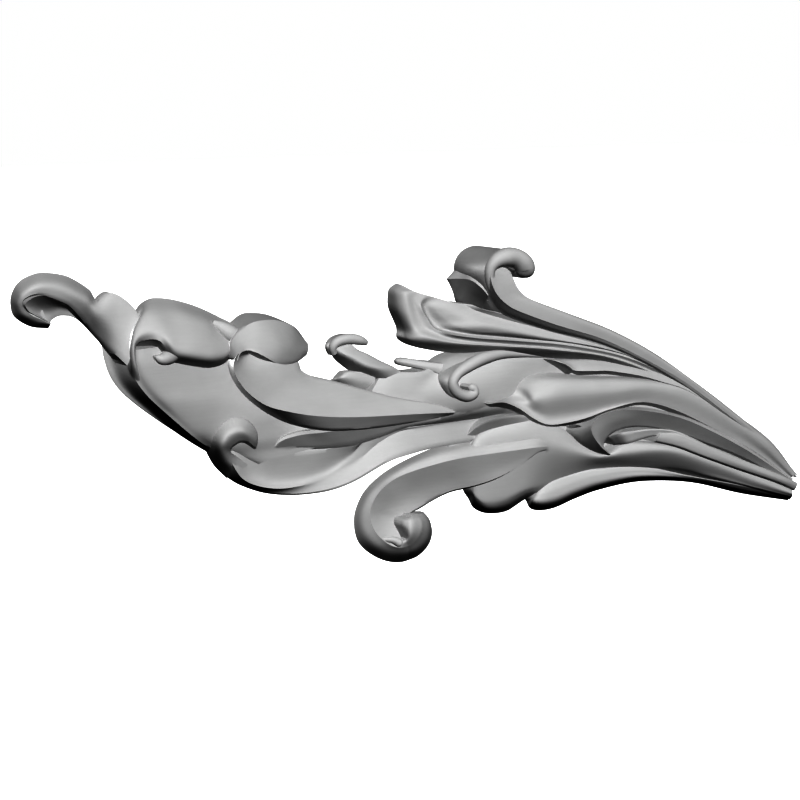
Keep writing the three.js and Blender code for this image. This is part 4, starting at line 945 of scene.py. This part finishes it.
def primedWood():
    # wood under a thin grey coat: faint grain along the board, soft mottling
    paint = bpy.data.materials.new("primedWood")
    paint.use_nodes = True
    nodes, links = paint.node_tree.nodes, paint.node_tree.links
    shader = nodes["Principled BSDF"]
    shader.inputs["Specular IOR Level"].default_value = primer["specular"]
    place = nodes.new("ShaderNodeTexCoord").outputs["Object"]
    along = nodes.new("ShaderNodeMapping")
    along.inputs["Scale"].default_value = (primer["grainStretch"], 1, 1)
    links.new(place, along.inputs["Vector"])
    lines = along.outputs["Vector"]
    grain = addNoise(nodes, links, lines, primer["grainPerMetre"], primer["grainDetail"])
    mottle = addNoise(nodes, links, place, primer["mottlePerMetre"], primer["mottleDetail"])
    both = nodes.new("ShaderNodeMath")
    both.operation = "MULTIPLY_ADD"
    both.inputs[1].default_value = primer["grainShare"]
    links.new(grain, both.inputs[0])
    links.new(mottle, both.inputs[2])
    tone = addSpread(
        nodes, links, both.outputs["Value"], primer["bothRange"],
        primer["tone"], primer["toneSpread"],
    )
    rough = addSpread(
        nodes, links, mottle, primer["mottleRange"],
        primer["roughness"], primer["roughnessSpread"],
    )
    links.new(tone, shader.inputs["Base Color"])
    links.new(rough, shader.inputs["Roughness"])
    bump = nodes.new("ShaderNodeBump")
    bump.inputs["Strength"].default_value = primer["bumpStrength"]
    bump.inputs["Distance"].default_value = primer["bumpHeight"]
    links.new(grain, bump.inputs["Height"])
    links.new(bump.outputs["Normal"], shader.inputs["Normal"])
    return paint


onlay.data.materials.append(primedWood())
print("primed")

studio = {
    "keyTowards": (-0.30, -0.78, 0.53),
    "keyStrength": 6.9,
    "keySoftness": 20.0,  # degrees
    "behindTowards": (0, 1, 0),  # lights the back alone
    "behindStrength": 4.0,
    "fill": 0.02,  # what the white surroundings shed on the onlay
    "gamma": 0.45,
    "floorTone": 0.9,
    "floorRoughness": 0.9,
    "floorGlow": 0.6,
    "floorWide": 6.0,  # metres
}


def makeFloor():
    # pale, and unseen by the light that reaches the onlay, so the undersides stay dark
    bm = bmesh.new()
    bmesh.ops.create_grid(bm, x_segments=1, y_segments=1, size=studio["floorWide"] / 2)
    lowest = min(vert.co.z for vert in onlay.data.vertices)
    bmesh.ops.translate(bm, vec=(0, 0, lowest), verts=bm.verts)
    floor = asObject("floor", bm)
    pale = bpy.data.materials.new("paleFloor")
    pale.use_nodes = True
    shader = pale.node_tree.nodes["Principled BSDF"]
    tone = studio["floorTone"]
    shader.inputs["Base Color"].default_value = (tone, tone, tone, 1)
    shader.inputs["Roughness"].default_value = studio["floorRoughness"]
    shader.inputs["Specular IOR Level"].default_value = 0.0
    shader.inputs["Emission Color"].default_value = (1, 1, 1, 1)
    shader.inputs["Emission Strength"].default_value = studio["floorGlow"]
    floor.data.materials.append(pale)
    floor.visible_diffuse = False
    floor.visible_glossy = False


makeFloor()

camera = bpy.data.objects.new("camera", bpy.data.cameras.new("camera"))
camera.data.lens = sight["lens"]
camera.data.sensor_width = sight["sensor"]
camera.location = eye * mm
camera.rotation_euler = (-towards).to_track_quat("Z", "Y").to_euler()
bpy.context.scene.collection.objects.link(camera)
bpy.context.scene.camera = camera


def makeSun(name, sunTowards, strength):
    sun = bpy.data.objects.new(name, bpy.data.lights.new(name, "SUN"))
    sun.data.energy = strength
    sun.data.use_shadow = False  # the photograph has no cast shadows
    sun.rotation_euler = Vector(sunTowards).to_track_quat("Z", "Y").to_euler()
    bpy.context.scene.collection.objects.link(sun)
    return sun


key = makeSun("key", studio["keyTowards"], studio["keyStrength"])
key.data.angle = math.radians(studio["keySoftness"])
makeSun("behind", studio["behindTowards"], studio["behindStrength"])

# the camera sees white, the onlay gets only a little light from it
world = bpy.data.worlds.new("studio")
bpy.context.scene.world = world
world.use_nodes = True
nodes, links = world.node_tree.nodes, world.node_tree.links
dim = nodes["Background"]
dim.inputs["Strength"].default_value = studio["fill"]
plain = nodes.new("ShaderNodeBackground")
plain.inputs["Color"].default_value = (1, 1, 1, 1)
path = nodes.new("ShaderNodeLightPath")
mix = nodes.new("ShaderNodeMixShader")
links.new(path.outputs["Is Camera Ray"], mix.inputs[0])
links.new(dim.outputs[0], mix.inputs[1])
links.new(plain.outputs[0], mix.inputs[2])
links.new(mix.outputs[0], nodes["World Output"].inputs[0])
bpy.context.scene.view_settings.view_transform = "Standard"
bpy.context.scene.view_settings.gamma = studio["gamma"]
print("studio lit")
